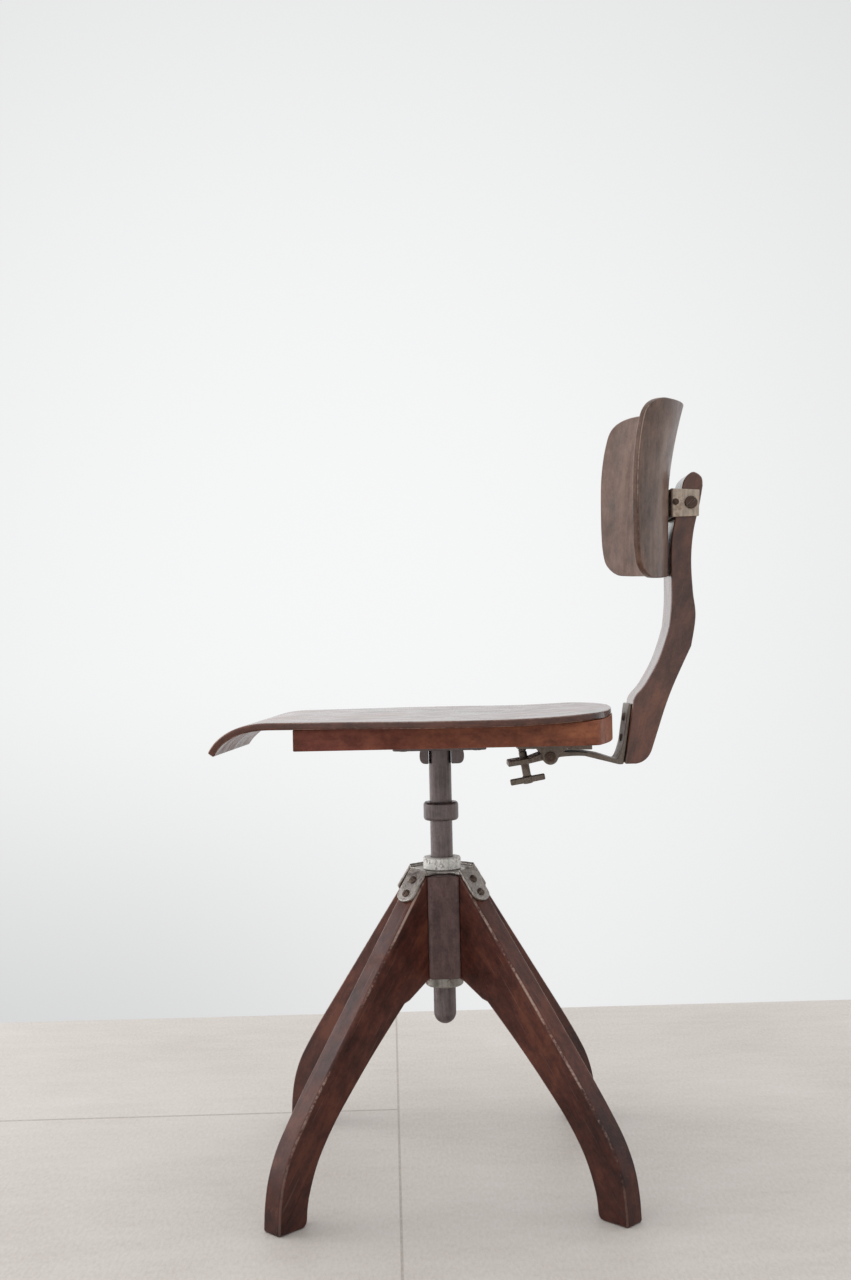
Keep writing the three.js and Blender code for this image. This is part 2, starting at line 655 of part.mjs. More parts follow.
// how far the backrest flares rearward at a height, most in the middle and none at the wing tips
function flare(y, z) {
  const lean = (z - 660) * 0.02;
  const top = 14 * (Math.max(0, z - 700) / 86) ** 1.6;
  return lean + top * Math.max(0, 1 - (y / 140) ** 2);
}

// half of the backrest's outline as [height, half width], from the bottom round to the top
const BACK_OUTLINE = [
  [BACK_BOTTOM, 0], [BACK_BOTTOM, 50], [BACK_BOTTOM, 92], [617, 110], [627, 123], [643, 128],
  [665, 130], [690, 130.8], [722, 131], [745, 129.6], [764, 127], [779, 123], [788, 114.5],
  [792.4, 100], [BACK_TOP, 80], [BACK_TOP, 40], [BACK_TOP, 0],
];

// curved plywood: an arc in plan, flared at the top, trimmed to the outline
function makeBackShell() {
  const centre = BACK_AXIS_X - BACK_RADIUS;
  const reach = 0.76;
  const band = new THREE.Shape();
  band.absarc(centre, 0, BACK_RADIUS, -reach, reach, false);
  band.absarc(centre, 0, BACK_RADIUS - PLY, reach, -reach, true);
  const settings = { depth: BACK_TOP - BACK_BOTTOM + 10, steps: 9, bevelEnabled: false };
  const bent = new THREE.ExtrudeGeometry(band, { ...settings, curveSegments: 12 });
  bent.translate(0, 0, BACK_BOTTOM - 5);
  const at = bent.attributes.position;
  for (let i = 0; i < at.count; i++) at.setX(i, at.getX(i) + flare(at.getY(i), at.getZ(i)));
  const outline = slab(mirrored(BACK_OUTLINE, 48), -320, -120).rotateY(-Math.PI / 2);
  const board = common(bent, outline);
  board.translate(-BACK_AXIS_X, 0, -BOLT.z).rotateX(BACK_ROLL).rotateZ(BACK_YAW);
  board.translate(BACK_AXIS_X, 0, BOLT.z);
  return plywood("back_shell", cut(board, ...onWeb(drill(SHELL_SCREW))));
}

const FORK_WEB = 245.5; // front of the fork's web
const FORK_TOP = 705.3;
const FORK_BOTTOM = 675.3;
const FORK_IN = 24.4;
const FORK_OUT = 27.4;

const SHELL_SCREW = { head: 4, height: 1.9, shank: 1.7, length: 7.4 };

function onWeb(tool) {
  const turnedBack = tool.clone().rotateY(Math.PI / 2);
  const places = [[-14, 682], [14, 682], [-14, 699], [14, 699]];
  return places.map(([y, z]) => turnedBack.clone().translate(FORK_WEB + 3, y, z));
}

const RIVET_X = 250;

function makeFork() {
  const web = box(FORK_WEB, FORK_WEB + 3, -FORK_OUT, FORK_OUT, FORK_BOTTOM, FORK_TOP);
  const cheek = polygon([
    [FORK_WEB + 1, FORK_BOTTOM], [274, FORK_BOTTOM + 0.6], [275.2, FORK_TOP - 2], [FORK_WEB + 1, FORK_TOP],
  ]);
  const left = prism(cheek, -FORK_OUT, -FORK_IN);
  const right = prism(cheek, FORK_IN, FORK_OUT);
  const bolt = crossBar(4 + GAP, BOLT.x, BOLT.z, -40, 40);
  const rivets = crossBar(1.8 + GAP, RIVET_X, BOLT.z + 1, -40, 40, 12);
  return bracketSteel("back_fork", cut(join(web, left, right), bolt, rivets, ...onWeb(drill(SHELL_SCREW))));
}

function makeForkRivets() {
  const rivets = [-1, 1].map((side) => {
    const near = side < 0;
    const shank = near ? [-FORK_OUT - 1, -FORK_IN] : [FORK_IN, FORK_OUT + 1];
    const head = near ? [-FORK_OUT - 1.8, -FORK_OUT - GAP] : [FORK_OUT + GAP, FORK_OUT + 1.8];
    const barrel = crossBar(1.8, RIVET_X, BOLT.z + 1, ...shank, 12);
    return join(barrel, crossBar(3.4, RIVET_X, BOLT.z + 1, ...head, 12));
  });
  return numbered(fastener, "fork_rivet", rivets);
}

function makePivotBolt() {
  const head = crossBar(6.6, BOLT.x, BOLT.z, -FORK_OUT - 3, -FORK_OUT - GAP, 20);
  const shank = crossBar(4, BOLT.x, BOLT.z, -FORK_OUT - 1, FORK_OUT + 8);
  const slot = box(-8, 8, -40, -FORK_OUT - 1.8, -0.9, 0.9).rotateY(-Math.PI / 4);
  return fastener("back_pivot_bolt", cut(join(head, shank), slot.translate(BOLT.x, 0, BOLT.z)));
}

function makePivotNut() {
  const nut = crossBar(7.4, BOLT.x, BOLT.z, FORK_OUT + GAP, FORK_OUT + 6.5, 6);
  const bore = crossBar(4 + GAP, BOLT.x, BOLT.z, 0, 60);
  return fastener("back_pivot_nut", cut(nut, bore));
}

function makeBackrest() {
  const group = new THREE.Group();
  group.add(makeBackShell(), makeFork(), ...makeForkRivets(), makePivotBolt(), makePivotNut());
  group.add(...numbered(fastener, "back_shell_screw", onWeb(screw(SHELL_SCREW))));
  return group;
}

// ---- the whole chair ----------------------------------------------------------------------------------

const chair = new THREE.Group();
chair.add(makeBase(), makePostGroup(), makeSeat());
chair.add(makeLever(), makeUpright(), ...numbered(fastener, "upright_screw", onStrap(screw(UPRIGHT_SCREW))));
chair.add(makeTiltScrew(), makeScrewFoot(), makeBackrest());
chair.position.x = -AXIS_TO_CENTRE;

export default chair;
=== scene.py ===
"""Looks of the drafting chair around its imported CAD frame. Shapes are drawn in millimetres, in the
design frame whose Z axis is the swivel axis, and placed in the row frame in metres."""

import math

import bmesh
import bpy
from mathutils import Matrix, Vector, noise


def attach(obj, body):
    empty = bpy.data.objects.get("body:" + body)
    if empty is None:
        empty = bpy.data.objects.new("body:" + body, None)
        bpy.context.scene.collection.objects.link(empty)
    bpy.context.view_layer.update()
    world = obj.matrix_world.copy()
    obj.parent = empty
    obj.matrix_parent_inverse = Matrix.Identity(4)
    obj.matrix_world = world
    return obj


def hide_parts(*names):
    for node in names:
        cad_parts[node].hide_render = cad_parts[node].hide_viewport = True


def turned(angle, axis):
    return Matrix.Rotation(angle, 4, axis)


def move_by(offset):
    return Matrix.Translation(offset)


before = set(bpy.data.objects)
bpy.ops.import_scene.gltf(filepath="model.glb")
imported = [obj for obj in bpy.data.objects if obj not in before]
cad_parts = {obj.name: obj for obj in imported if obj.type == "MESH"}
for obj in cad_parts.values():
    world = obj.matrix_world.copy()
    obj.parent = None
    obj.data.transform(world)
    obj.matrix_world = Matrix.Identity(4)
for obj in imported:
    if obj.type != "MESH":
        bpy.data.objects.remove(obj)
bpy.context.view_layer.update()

MM = 0.001
AXIS_X = -27.9  # the swivel axis in the row frame
TO_ROW = Matrix.Scale(MM, 4) @ move_by((AXIS_X, 0, 0))
LEG_TURN = math.radians(0.6)
BASE_TO_ROW = TO_ROW @ turned(LEG_TURN, "Z")
QUARTERS = [math.radians(45 + 90 * i) for i in range(4)]


# ---- outlines -------------------------------------------------------------------------------------


class Outline:
    """A flat outline made of lines, curves and splines through points."""

    def __init__(self, x, y):
        self.points = [(x, y)]

    def line(self, *xy):
        self.points += [(xy[i], xy[i + 1]) for i in range(0, len(xy), 2)]
        return self

    def quad(self, cx, cy, x, y, steps=10):
        x0, y0 = self.points[-1]
        for i in range(1, steps + 1):
            t = i / steps
            a, b, c = (1 - t) ** 2, 2 * t * (1 - t), t * t
            self.points.append((a * x0 + b * cx + c * x, a * y0 + b * cy + c * y))
        return self

    def cubic(self, ax, ay, bx, by, x, y, steps=18):
        x0, y0 = self.points[-1]
        for i in range(1, steps + 1):
            t = i / steps
            a, b, c, d = (1 - t) ** 3, 3 * t * (1 - t) ** 2, 3 * t * t * (1 - t), t**3
            self.points.append((a * x0 + b * ax + c * bx + d * x, a * y0 + b * ay + c * by + d * y))
        return self

    def spline(self, *xy, steps=8):
        """Catmull-Rom through the last point and these."""
        p = [self.points[-1]] + [(xy[i], xy[i + 1]) for i in range(0, len(xy), 2)]
        for i in range(len(p) - 1):
            p0, p1, p2 = p[max(i - 1, 0)], p[i], p[i + 1]
            p3 = p[min(i + 2, len(p) - 1)]
            for k in range(1, steps + 1):
                t = k / steps
                self.points.append(tuple(catmull(t, p0[j], p1[j], p2[j], p3[j]) for j in (0, 1)))
        return self


def catmull(t, a, b, c, d):
    u, v = (c - a) / 2, (d - b) / 2
    return (2 * b - 2 * c + u + v) * t**3 + (3 * c - 3 * b - 2 * u - v) * t * t + u * t + b


def spaced(points, least=0.25):
    """The points without repeats, the last not on the first."""
    kept = []
    for p in points:
        if not kept or math.dist(p, kept[-1]) > least:
            kept.append(p)
    if math.dist(kept[0], kept[-1]) <= least:
        kept.pop()
    return kept


# ---- meshes ---------------------------------------------------------------------------------------


def slab_mesh(points, low, high, place=None):
    """Outline in X and Y, from low to high in Z, then moved by place."""
    bm = bmesh.new()
    ring = spaced(points)
    lower = [bm.verts.new((x, y, low)) for x, y in ring]
    upper = [bm.verts.new((x, y, high)) for x, y in ring]
    bm.faces.new(lower)
    bm.faces.new(upper)
    for i in range(len(ring)):
        k = (i + 1) % len(ring)
        bm.faces.new((lower[i], lower[k], upper[k], upper[i]))
    bmesh.ops.recalc_face_normals(bm, faces=bm.faces)
    if place is not None:
        bm.transform(place)
    return bm


UPRIGHT_PLANE = Matrix(((1, 0, 0, 0), (0, 0, 1, 0), (0, 1, 0, 0), (0, 0, 0, 1)))


def prism_mesh(points, low, high):
    """Outline in X and Z, from low to high in Y."""
    bm = slab_mesh(points, low, high, UPRIGHT_PLANE)
    bmesh.ops.recalc_face_normals(bm, faces=bm.faces)
    return bm


def lathe_mesh(profile, segments=72):
    """Profile of (radius, z) pairs about the Z axis. A profile that starts and ends on the axis is a
    solid, and any other is a closed ring."""
    bm = bmesh.new()
    rings = []
    for r, z in profile:
        if r < 1e-6:
            rings.append([bm.verts.new((0, 0, z))])
            continue
        turn = [2 * math.pi * i / segments for i in range(segments)]
        rings.append([bm.verts.new((r * math.cos(a), r * math.sin(a), z)) for a in turn])
    solid = profile[0][0] < 1e-6 and profile[-1][0] < 1e-6
    pairs = list(zip(rings, rings[1:])) + ([] if solid else [(rings[-1], rings[0])])
    for a, b in pairs:
        for i in range(segments):
            k = (i + 1) % segments
            if len(a) == 1:
                bm.faces.new((a[0], b[k], b[i]))
            elif len(b) == 1:
                bm.faces.new((a[i], a[k], b[0]))
            else:
                bm.faces.new((a[i], a[k], b[k], b[i]))
    bmesh.ops.recalc_face_normals(bm, faces=bm.faces)
    return bm


def rod(radius, low, high, *segments):
    """A plain cylinder along Z."""
    return lathe_mesh([(0, low), (radius, low), (radius, high), (0, high)], *segments)


def box_mesh(x0, x1, y0, y1, z0, z1):
    return slab_mesh([(x0, y0), (x1, y0), (x1, y1), (x0, y1)], z0, z1)


def round_edges(bm, radius, segments=3, angle=28):
    """Rounds each edge that turns by more than angle. The ridge attribute is 1 along the middle of the
    rounded edges."""
    limit = math.radians(angle)
    ridge = bm.verts.layers.float.get("ridge") or bm.verts.layers.float.new("ridge")
    sharp = [e for e in bm.edges if len(e.link_faces) == 2 and e.calc_face_angle(0) > limit]
    made = bmesh.ops.bevel(
        bm, geom=sharp, offset=radius, segments=segments, profile=0.5, affect="EDGES",
        clamp_overlap=False,
    )
    rounded = set(made["faces"])
    inner = {v for v in made["verts"] if all(f in rounded for f in v.link_faces)}
    for v in made["verts"]:
        v[ridge] = 0.0
    for v in inner:
        v[ridge] = 1.0 if all(w in inner for e in v.link_edges for w in e.verts) else 0.7
    return bm


def temporary(bm):
    mesh = bpy.data.meshes.new("temporary")
    bm.to_mesh(mesh)
    bm.free()
    made = bpy.data.objects.new("temporary", mesh)
    bpy.context.scene.collection.objects.link(made)
    return made


def evaluated(made):
    """The object's mesh with its modifiers, as a bmesh. The object is removed."""
    graph = bpy.context.evaluated_depsgraph_get()
    mesh = bpy.data.meshes.new_from_object(made.evaluated_get(graph))
    bm = bmesh.new()
    bm.from_mesh(mesh)
    bpy.data.objects.remove(made)
    bpy.data.meshes.remove(mesh)
    return bm


def boolean(first, second, operation):
    a, b = temporary(first), temporary(second)
    cutter = a.modifiers.new("boolean", "BOOLEAN")
    cutter.operation, cutter.object, cutter.solver = operation, b, "EXACT"
    bpy.context.view_layer.update()
    bm = evaluated(a)
    bpy.data.objects.remove(b)
    bmesh.ops.dissolve_limit(
        bm, angle_limit=math.radians(0.5), verts=bm.verts, edges=bm.edges, use_dissolve_boundaries=False
    )
    return bm


def union(*parts):
    result = parts[0]
    for p in parts[1:]:
        result = boolean(result, p, "UNION")
    return result


def remeshed(bm, voxel, smoothing):
    """One skin round everything in bm, its edges and inner corners softened. Sizes in millimetres."""
    made = temporary(bm)
    skin = made.modifiers.new("skin", "REMESH")
    skin.mode, skin.voxel_size, skin.adaptivity = "VOXEL", voxel, 0.0
    soft = made.modifiers.new("soft", "SMOOTH")
    soft.factor, soft.iterations = 0.5, smoothing
    bpy.context.view_layer.update()
    return evaluated(made)


def joined(*parts):
    """Several meshes in one bmesh, as they are."""
    result = bmesh.new()
    for p in parts:
        mesh = bpy.data.meshes.new("temporary")
        p.to_mesh(mesh)
        p.free()
        result.from_mesh(mesh)
        bpy.data.meshes.remove(mesh)
    return result


def hammered(bm, size, height):
    """Shallow dents and bumps of that size all over, in millimetres."""
    bm.normal_update()
    moves = [(v, v.normal * noise.noise(v.co / size) * height) for v in bm.verts]
    for v, move in moves:
        v.co += move
    return bm


def cut_across(bm, direction, start, end, step):
    """Cuts the mesh at even steps, so that it can bend there."""
    normal = Vector(direction)
    at = start + step
    while at < end:
        geometry = bm.verts[:] + bm.edges[:] + bm.faces[:]
        bmesh.ops.bisect_plane(bm, geom=geometry, plane_co=normal * at, plane_no=normal, dist=1e-4)
        at += step


# ---- pieces ---------------------------------------------------------------------------------------


def finish_piece(name, bm, to_row, body, nodes, material, grain=None, smooth=32):
    """Makes the piece: its grain attribute from the drawn coordinates, its place in the row frame, smooth
    shading with sharp edges kept, its material and body, and hides the CAD nodes it replaces."""
    mesh = bpy.data.meshes.new(name)
    bm.verts.ensure_lookup_table()
    drawn = grain or (lambda p: p)
    coordinates = []
    for v in bm.verts:
        coordinates.extend(c * MM for c in drawn(v.co))
    bm.transform(to_row)
    bm.to_mesh(mesh)
    bm.free()
    attribute = mesh.attributes.new("grain", "FLOAT_VECTOR", "POINT")
    attribute.data.foreach_set("vector", coordinates)
    mesh.shade_smooth()
    mesh.set_sharp_from_angle(angle=math.radians(smooth))
    mesh.materials.append(material)
    piece = bpy.data.objects.new(name, mesh)
    bpy.context.scene.collection.objects.link(piece)
    normals = piece.modifiers.new("even_normals", "WEIGHTED_NORMAL")
    normals.keep_sharp = True
    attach(piece, body)
    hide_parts(*nodes)
    return piece


# ---- materials ------------------------------------------------------------------------------------


class Shader:
    """A material with short calls for the nodes used here."""

    def __init__(self, name):
        self.material = bpy.data.materials.new(name)
        self.material.use_nodes = True
        self.tree = self.material.node_tree
        self.surface = self.tree.nodes["Principled BSDF"]

    def node(self, kind, inputs=None, **settings):
        made = self.tree.nodes.new(kind)
        for key, value in settings.items():
            setattr(made, key, value)
        for key, value in (inputs or {}).items():
            self.feed(made.inputs[key], value)
        return made

    def feed(self, socket, value):
        if isinstance(value, bpy.types.NodeSocket):
            self.tree.links.new(value, socket)
        else:
            socket.default_value = value

    def set(self, **values):
        for key, value in values.items():
            self.feed(self.surface.inputs[key.replace("_", " ")], value)

    def grain(self):
        return self.node("ShaderNodeAttribute", attribute_name="grain").outputs["Vector"]

    def place(self):
        return self.node("ShaderNodeTexCoord").outputs["Object"]

    def scaled(self, vector, scale, offset=(0, 0, 0)):
        inputs = {"Vector": vector, "Scale": scale, "Location": offset}
        return self.node("ShaderNodeMapping", inputs).outputs["Vector"]

    def noise(self, vector, scale, detail=4.0, rough=0.55, distortion=0.0):
        inputs = {
            "Vector": vector, "Scale": scale, "Detail": detail, "Roughness": rough,
            "Distortion": distortion,
        }
        return self.node("ShaderNodeTexNoise", inputs).outputs["Fac"]

    def math(self, operation, a, b=0.0, clamp=False):
        made = self.node("ShaderNodeMath", {0: a, 1: b}, operation=operation)
        made.use_clamp = clamp
        return made.outputs[0]

    def add(self, *values, clamp=False):
        return self.math("ADD", *values, clamp=clamp)

    def times(self, *values, clamp=False):
        return self.math("MULTIPLY", *values, clamp=clamp)

    def band(self, value, low, high, to_low=0.0, to_high=1.0):
        """value from low to high, as to_low to to_high, clamped."""
        inputs = {"Value": value, 1: low, 2: high, 3: to_low, 4: to_high}
        return self.node("ShaderNodeMapRange", inputs, interpolation_type="SMOOTHSTEP").outputs[0]

    def ramp(self, value, *stops):
        made = self.node("ShaderNodeValToRGB", {"Fac": value})
        elements = made.color_ramp.elements
        while len(elements) < len(stops):
            elements.new(0.5)
        for element, (at, color) in zip(elements, stops):
            element.position = at
            element.color = (*color, 1)
        return made.outputs["Color"]

    def mix(self, factor, a, b, blend="MIX"):
        made = self.node("ShaderNodeMix", data_type="RGBA", blend_type=blend)
        self.feed(made.inputs["Factor"], factor)
        for index, value in ((6, a), (7, b)):
            self.feed(made.inputs[index], value if isinstance(value, bpy.types.NodeSocket) else (*value, 1))
        return made.outputs[2]

    def edges(self, radius, low, high):
        """1 on edges rounder than radius, 0 on flats."""
        wide = self.node("ShaderNodeBevel", {"Radius": radius}, samples=6).outputs["Normal"]
        own = self.node("ShaderNodeNewGeometry").outputs["Normal"]
        dot = self.node("ShaderNodeVectorMath", {0: wide, 1: own}, operation="DOT_PRODUCT")
        return self.band(dot.outputs["Value"], 1 - low, 1 - high)

    def split(self, vector):
        return self.node("ShaderNodeSeparateXYZ", {"Vector": vector}).outputs

    def bump(self, height, distance, strength=1.0, normal=None):
        inputs = {"Height": height, "Distance": distance, "Strength": strength}
        if normal is not None:
            inputs["Normal"] = normal
        return self.node("ShaderNodeBump", inputs).outputs["Normal"]


def wood(
    name, dark, mid, light, worn, edge_wear=0.8, gloss=(0.3, 0.5), coat=0.8, ply=False, patch=9.0,
    by_place=None, bare_under=False
):
    """Stained and varnished wood. The grain attribute's X runs along the grain. by_place tints it along
    an axis of the row frame: axis, from, to, share, tint."""
    s = Shader(name)
    at = s.grain()
    wander = s.noise(s.scaled(at, (3, 9, 9)), 1.0, 2.0)
    shift = s.node("ShaderNodeCombineXYZ", {"Y": s.times(wander, 0.02)}).outputs[0]
    bent = s.node("ShaderNodeVectorMath", {0: at, 1: shift}, operation="ADD").outputs[0]
    bands = s.noise(s.scaled(bent, (9, 85, 85)), 1.0, 5.0, 0.62, 0.4)
    fibres = s.noise(s.scaled(bent, (45, 1900, 1900)), 1.0, 3.0, 0.6)
    pores = s.noise(s.scaled(bent, (95, 1500, 1500)), 1.0, 1.0)
    patches = s.noise(at, patch, 3.0, 0.5)
    cloud = s.noise(at, 38.0, 4.0, 0.6)
    blots = s.noise(s.scaled(at, (48, 80, 80)), 1.0, 4.0, 0.65)
    speck = s.noise(at, 330.0, 3.0, 0.7)
    tone = s.add(s.times(bands, 0.24), s.times(speck, 0.16))
    tone = s.add(tone, s.times(patches, 0.42))
    tone = s.add(tone, s.times(blots, 0.4))
    color = s.ramp(tone, (0.5, dark), (0.61, mid), (0.71, light))
    pore = s.band(pores, 0.6, 0.72)
    color = s.mix(s.times(pore, 0.16), color, tuple(c * 0.45 for c in dark))
    dirt = s.band(cloud, 0.53, 0.72)
    color = s.mix(s.times(dirt, 0.3), color, tuple(c * 0.7 for c in dark))
    # Lighter worn colour on the middle of the rounded edges, less near the floor: partly rubbed wear and
    # partly a painted highlight along the edges.
    ridge = s.node("ShaderNodeAttribute", attribute_name="ridge").outputs["Fac"]
    broken = s.add(s.times(s.noise(at, 12.0, 2.0), 0.6), s.times(s.noise(at, 260.0, 3.0, 0.7), 0.4))
    rub_and_highlight = s.times(s.band(ridge, 0.55, 1.0), s.band(broken, 0.44, 0.6))
    rub_and_highlight = s.times(rub_and_highlight, s.band(s.split(s.place())[2], 0.02, 0.15, 0.3 * edge_wear, edge_wear))
    color = s.mix(rub_and_highlight, color, worn)
    scratch_at = s.node(
        "ShaderNodeMapping", {"Vector": at, "Rotation": (0.4, 0.3, 0.5), "Scale": (14, 700, 700)}
    )
    scratches = s.band(s.noise(scratch_at.outputs[0], 1.0, 1.0), 0.69, 0.74)
    color = s.mix(s.times(scratches, 0.12), color, worn)
    height = s.add(s.times(fibres, 0.35), s.times(pore, -0.6))
    height = s.add(height, s.times(scratches, -0.4))
    if ply:
        layers = s.math("FRACT", s.times(s.split(at)[2], 1 / (1.4 * MM)))
        seam = s.band(s.math("ABSOLUTE", s.math("SUBTRACT", layers, 0.5)), 0.36, 0.5)
        side = s.band(s.node("ShaderNodeAttribute", attribute_name="side").outputs["Fac"], 0.4, 0.9)
        seam = s.times(seam, side)
        height = s.add(height, s.times(seam, -0.8))
        color = s.mix(s.times(seam, 0.55), color, tuple(c * 0.35 for c in dark))
    waves = s.noise(at, 24.0, 1.0)
    even = s.bump(waves, 0.0016, 0.25)
    normal = s.bump(height, 0.00012, 0.7, even)
    rough = s.band(s.add(s.times(cloud, 0.6), s.times(patches, 0.4)), 0.35, 0.65, *gloss)
    rough = s.add(rough, s.times(rub_and_highlight, 0.12), clamp=True)
    if by_place is not None:
        axis, low, high, share, tint = by_place
        spot = s.band(s.split(s.place())[axis], low, high)
        color = s.mix(s.times(spot, share), color, tint, "MULTIPLY")
    s.set(Base_Color=color, Roughness=rough, Normal=normal, Specular_IOR_Level=0.2)
    if bare_under:
        coat = s.band(s.split(at)[2], 0.5 * MM, 1.5 * MM, 0.0, coat)
    s.set(Coat_Weight=coat, Coat_Roughness=0.15)
    return s.material


def metal(
    name, base, worn, rust, metallic, gloss, rust_amount=0.5, edge_wear=0.8, brushed=(500, 500, 30),
    bump=0.0001
):
    """Old steel: base tone with brighter rubbed edges, fine scratches and rust in patches."""
    s = Shader(name)
    at = s.place()
    patches = s.noise(at, 55.0, 5.0, 0.65)
    fine = s.noise(at, 420.0, 4.0, 0.7)
    lines = s.noise(s.scaled(at, brushed), 1.0, 3.0, 0.6)
    pits = s.node("ShaderNodeTexVoronoi", {"Vector": at, "Scale": 520.0}).outputs["Distance"]
    tone = s.add(s.times(patches, 0.6), s.times(lines, 0.4))
    color = s.ramp(
        tone, (0.38, tuple(c * 0.62 for c in base)), (0.52, base),
        (0.66, tuple(min(1, c * 1.45) for c in base))
    )
    edge = s.times(s.edges(0.0012, 0.0, 0.14), s.band(fine, 0.36, 0.58))
    edge = s.times(edge, edge_wear)
    color = s.mix(edge, color, worn)
    rusty = s.band(s.add(s.times(patches, 0.55), s.times(fine, 0.45)), 0.5, 0.62)
    rusty = s.times(rusty, rust_amount)
    color = s.mix(rusty, color, rust)
    pit = s.band(pits, 0.0, 0.25, 1.0, 0.0)
    height = s.add(s.times(fine, 0.6), s.times(lines, 0.5))
    height = s.add(height, s.times(s.times(pit, rusty), -0.8))
    height = s.add(height, s.times(rusty, 0.5))
    rough = s.band(tone, 0.35, 0.65, *gloss)
    rough = s.add(rough, s.times(rusty, 0.3), clamp=True)
    shine = s.math("SUBTRACT", metallic, s.times(rusty, metallic * 0.8), clamp=True)
    s.set(Base_Color=color, Roughness=rough, Metallic=shine, Normal=s.bump(height, bump, 0.8))
    return s.material


WOOD_LEG = wood(
    "leg_wood", (0.03, 0.0095, 0.007), (0.072, 0.021, 0.0145), (0.12, 0.038, 0.022), (0.42, 0.3, 0.25),
    coat=0.08, by_place=(2, 0.2, 0.0, 0.8, (0.6, 0.56, 0.56))
)
WOOD_HUB = wood(
    "hub_wood", (0.055, 0.031, 0.029), (0.112, 0.066, 0.062), (0.17, 0.105, 0.094), (0.2, 0.16, 0.14),
    gloss=(0.32, 0.5), coat=0.2, edge_wear=0.4
)
WOOD_UPRIGHT = wood(
    "upright_wood", (0.055, 0.024, 0.018), (0.105, 0.045, 0.033), (0.165, 0.068, 0.042),
    (0.3, 0.2, 0.16), gloss=(0.28, 0.45), coat=0.8, edge_wear=0.6
)
WOOD_FRAME = wood(
    "frame_wood", (0.12, 0.037, 0.02), (0.235, 0.077, 0.04), (0.34, 0.125, 0.058), (0.34, 0.18, 0.1),
    gloss=(0.45, 0.65), coat=0.08, edge_wear=0.5, by_place=(0, 0.12, -0.16, 1.0, (0.72, 0.6, 0.78))
)
PLY_SEAT = wood(
    "seat_plywood", (0.042, 0.015, 0.01), (0.085, 0.03, 0.02), (0.13, 0.05, 0.032), (0.36, 0.24, 0.18),
    ply=True, gloss=(0.24, 0.44), coat=0.6, edge_wear=0.6, bare_under=True,
    by_place=(0, -0.13, -0.22, 1.0, (1.35, 1.25, 1.15))
)
PLY_BACK = wood(
    "back_plywood", (0.055, 0.028, 0.019), (0.115, 0.062, 0.043), (0.17, 0.098, 0.07),
    (0.4, 0.32, 0.27), ply=True, gloss=(0.32, 0.5), coat=0.18, edge_wear=0.7
)
STEEL_DARK = metal(
    "dark_steel", (0.165, 0.138, 0.138), (0.36, 0.32, 0.3), (0.075, 0.04, 0.03), 0.85, (0.3, 0.46),
    rust_amount=0.35
)
STEEL_WORN = metal(
    "worn_steel", (0.36, 0.34, 0.31), (0.62, 0.6, 0.55), (0.11, 0.065, 0.045), 0.8, (0.34, 0.55),
    rust_amount=0.85
)
STEEL_STAR = metal(
    "star_steel", (0.36, 0.33, 0.305), (0.5, 0.47, 0.43), (0.09, 0.055, 0.04), 0.85, (0.26, 0.45),
    rust_amount=0.5, bump=0.0002
)
STEEL_PAINTED = metal(
    "painted_ring", (0.78, 0.77, 0.73), (0.85, 0.84, 0.8), (0.13, 0.08, 0.06), 0.3, (0.4, 0.6),
    rust_amount=0.7
)
STEEL_BRACKET = metal(
    "bracket_steel", (0.2, 0.17, 0.145), (0.5, 0.44, 0.37), (0.1, 0.06, 0.042), 0.75, (0.36, 0.56),
    rust_amount=0.6
)
STEEL_FORK = metal(
    "fork_steel", (0.52, 0.43, 0.35), (0.75, 0.68, 0.58), (0.22, 0.14, 0.1), 0.5, (0.38, 0.56),
    rust_amount=0.7
)
STEEL_SCREW = metal(
    "screw_steel", (0.1, 0.065, 0.05), (0.36, 0.3, 0.25), (0.07, 0.035, 0.025), 0.7, (0.4, 0.6),
    rust_amount=0.8
)


# ---- base -----------------------------------------------------------------------------------------

HUB_BOTTOM, HUB_TOP, HUB_HALF, SLOT_FLOOR = 203, 309, 36, 26
KNEE_R, KNEE_Z, LEG_SLOPE = 188.8, 122, 0.8117
LEG_HALF = 12
GAP = 0.3
LEG_TOP = HUB_TOP - GAP
STAR_THICK = 2.8
ARM_HALF = 12
SLEEVE_BORE, SLEEVE_RADIUS = 12, 15
LEG_NODES = ["leg_rear_right", "leg_front_right", "leg_front_left", "leg_rear_left"]


def outer_radius(z):
    return KNEE_R - LEG_SLOPE * (z - KNEE_Z)


def make_legs():
    along = Vector((LEG_SLOPE, 0, -1)).normalized()
    across = Vector((1, 0, LEG_SLOPE)).normalized()
    for i, (node, turn) in enumerate(zip(LEG_NODES, QUARTERS)):
        shape = Outline(SLOT_FLOOR + GAP, LEG_TOP).line(outer_radius(LEG_TOP), LEG_TOP, KNEE_R, KNEE_Z)
        shape.spline(207.1, 97.9, 223.4, 73.8, 233.9, 49.7, 239, 25.5, 240.7, 3)
        shape.quad(240.7, 0, 237.7, 0, 5).line(212, 0).quad(205.5, 0, 205, 7, 5)
        shape.spline(202, 26.2, 190.2, 55.9, 169.7, 85.5, 142.1, 115.6, 111.5, 146, 70, 184)
        shape.line(62.8, 186, 38, 200.3, SLOT_FLOOR + GAP, HUB_BOTTOM + 1)
        bm = round_edges(prism_mesh(shape.points, -LEG_HALF, LEG_HALF), 3.0, 5)

        def grain(p, i=i):
            return p.dot(along) + 700 * i, p.dot(across) + 150 * i, p.y + 60 * i

        place = BASE_TO_ROW @ turned(turn, "Z")
        finish_piece(node + "_shaped", bm, place, "base", [node], WOOD_LEG, grain)


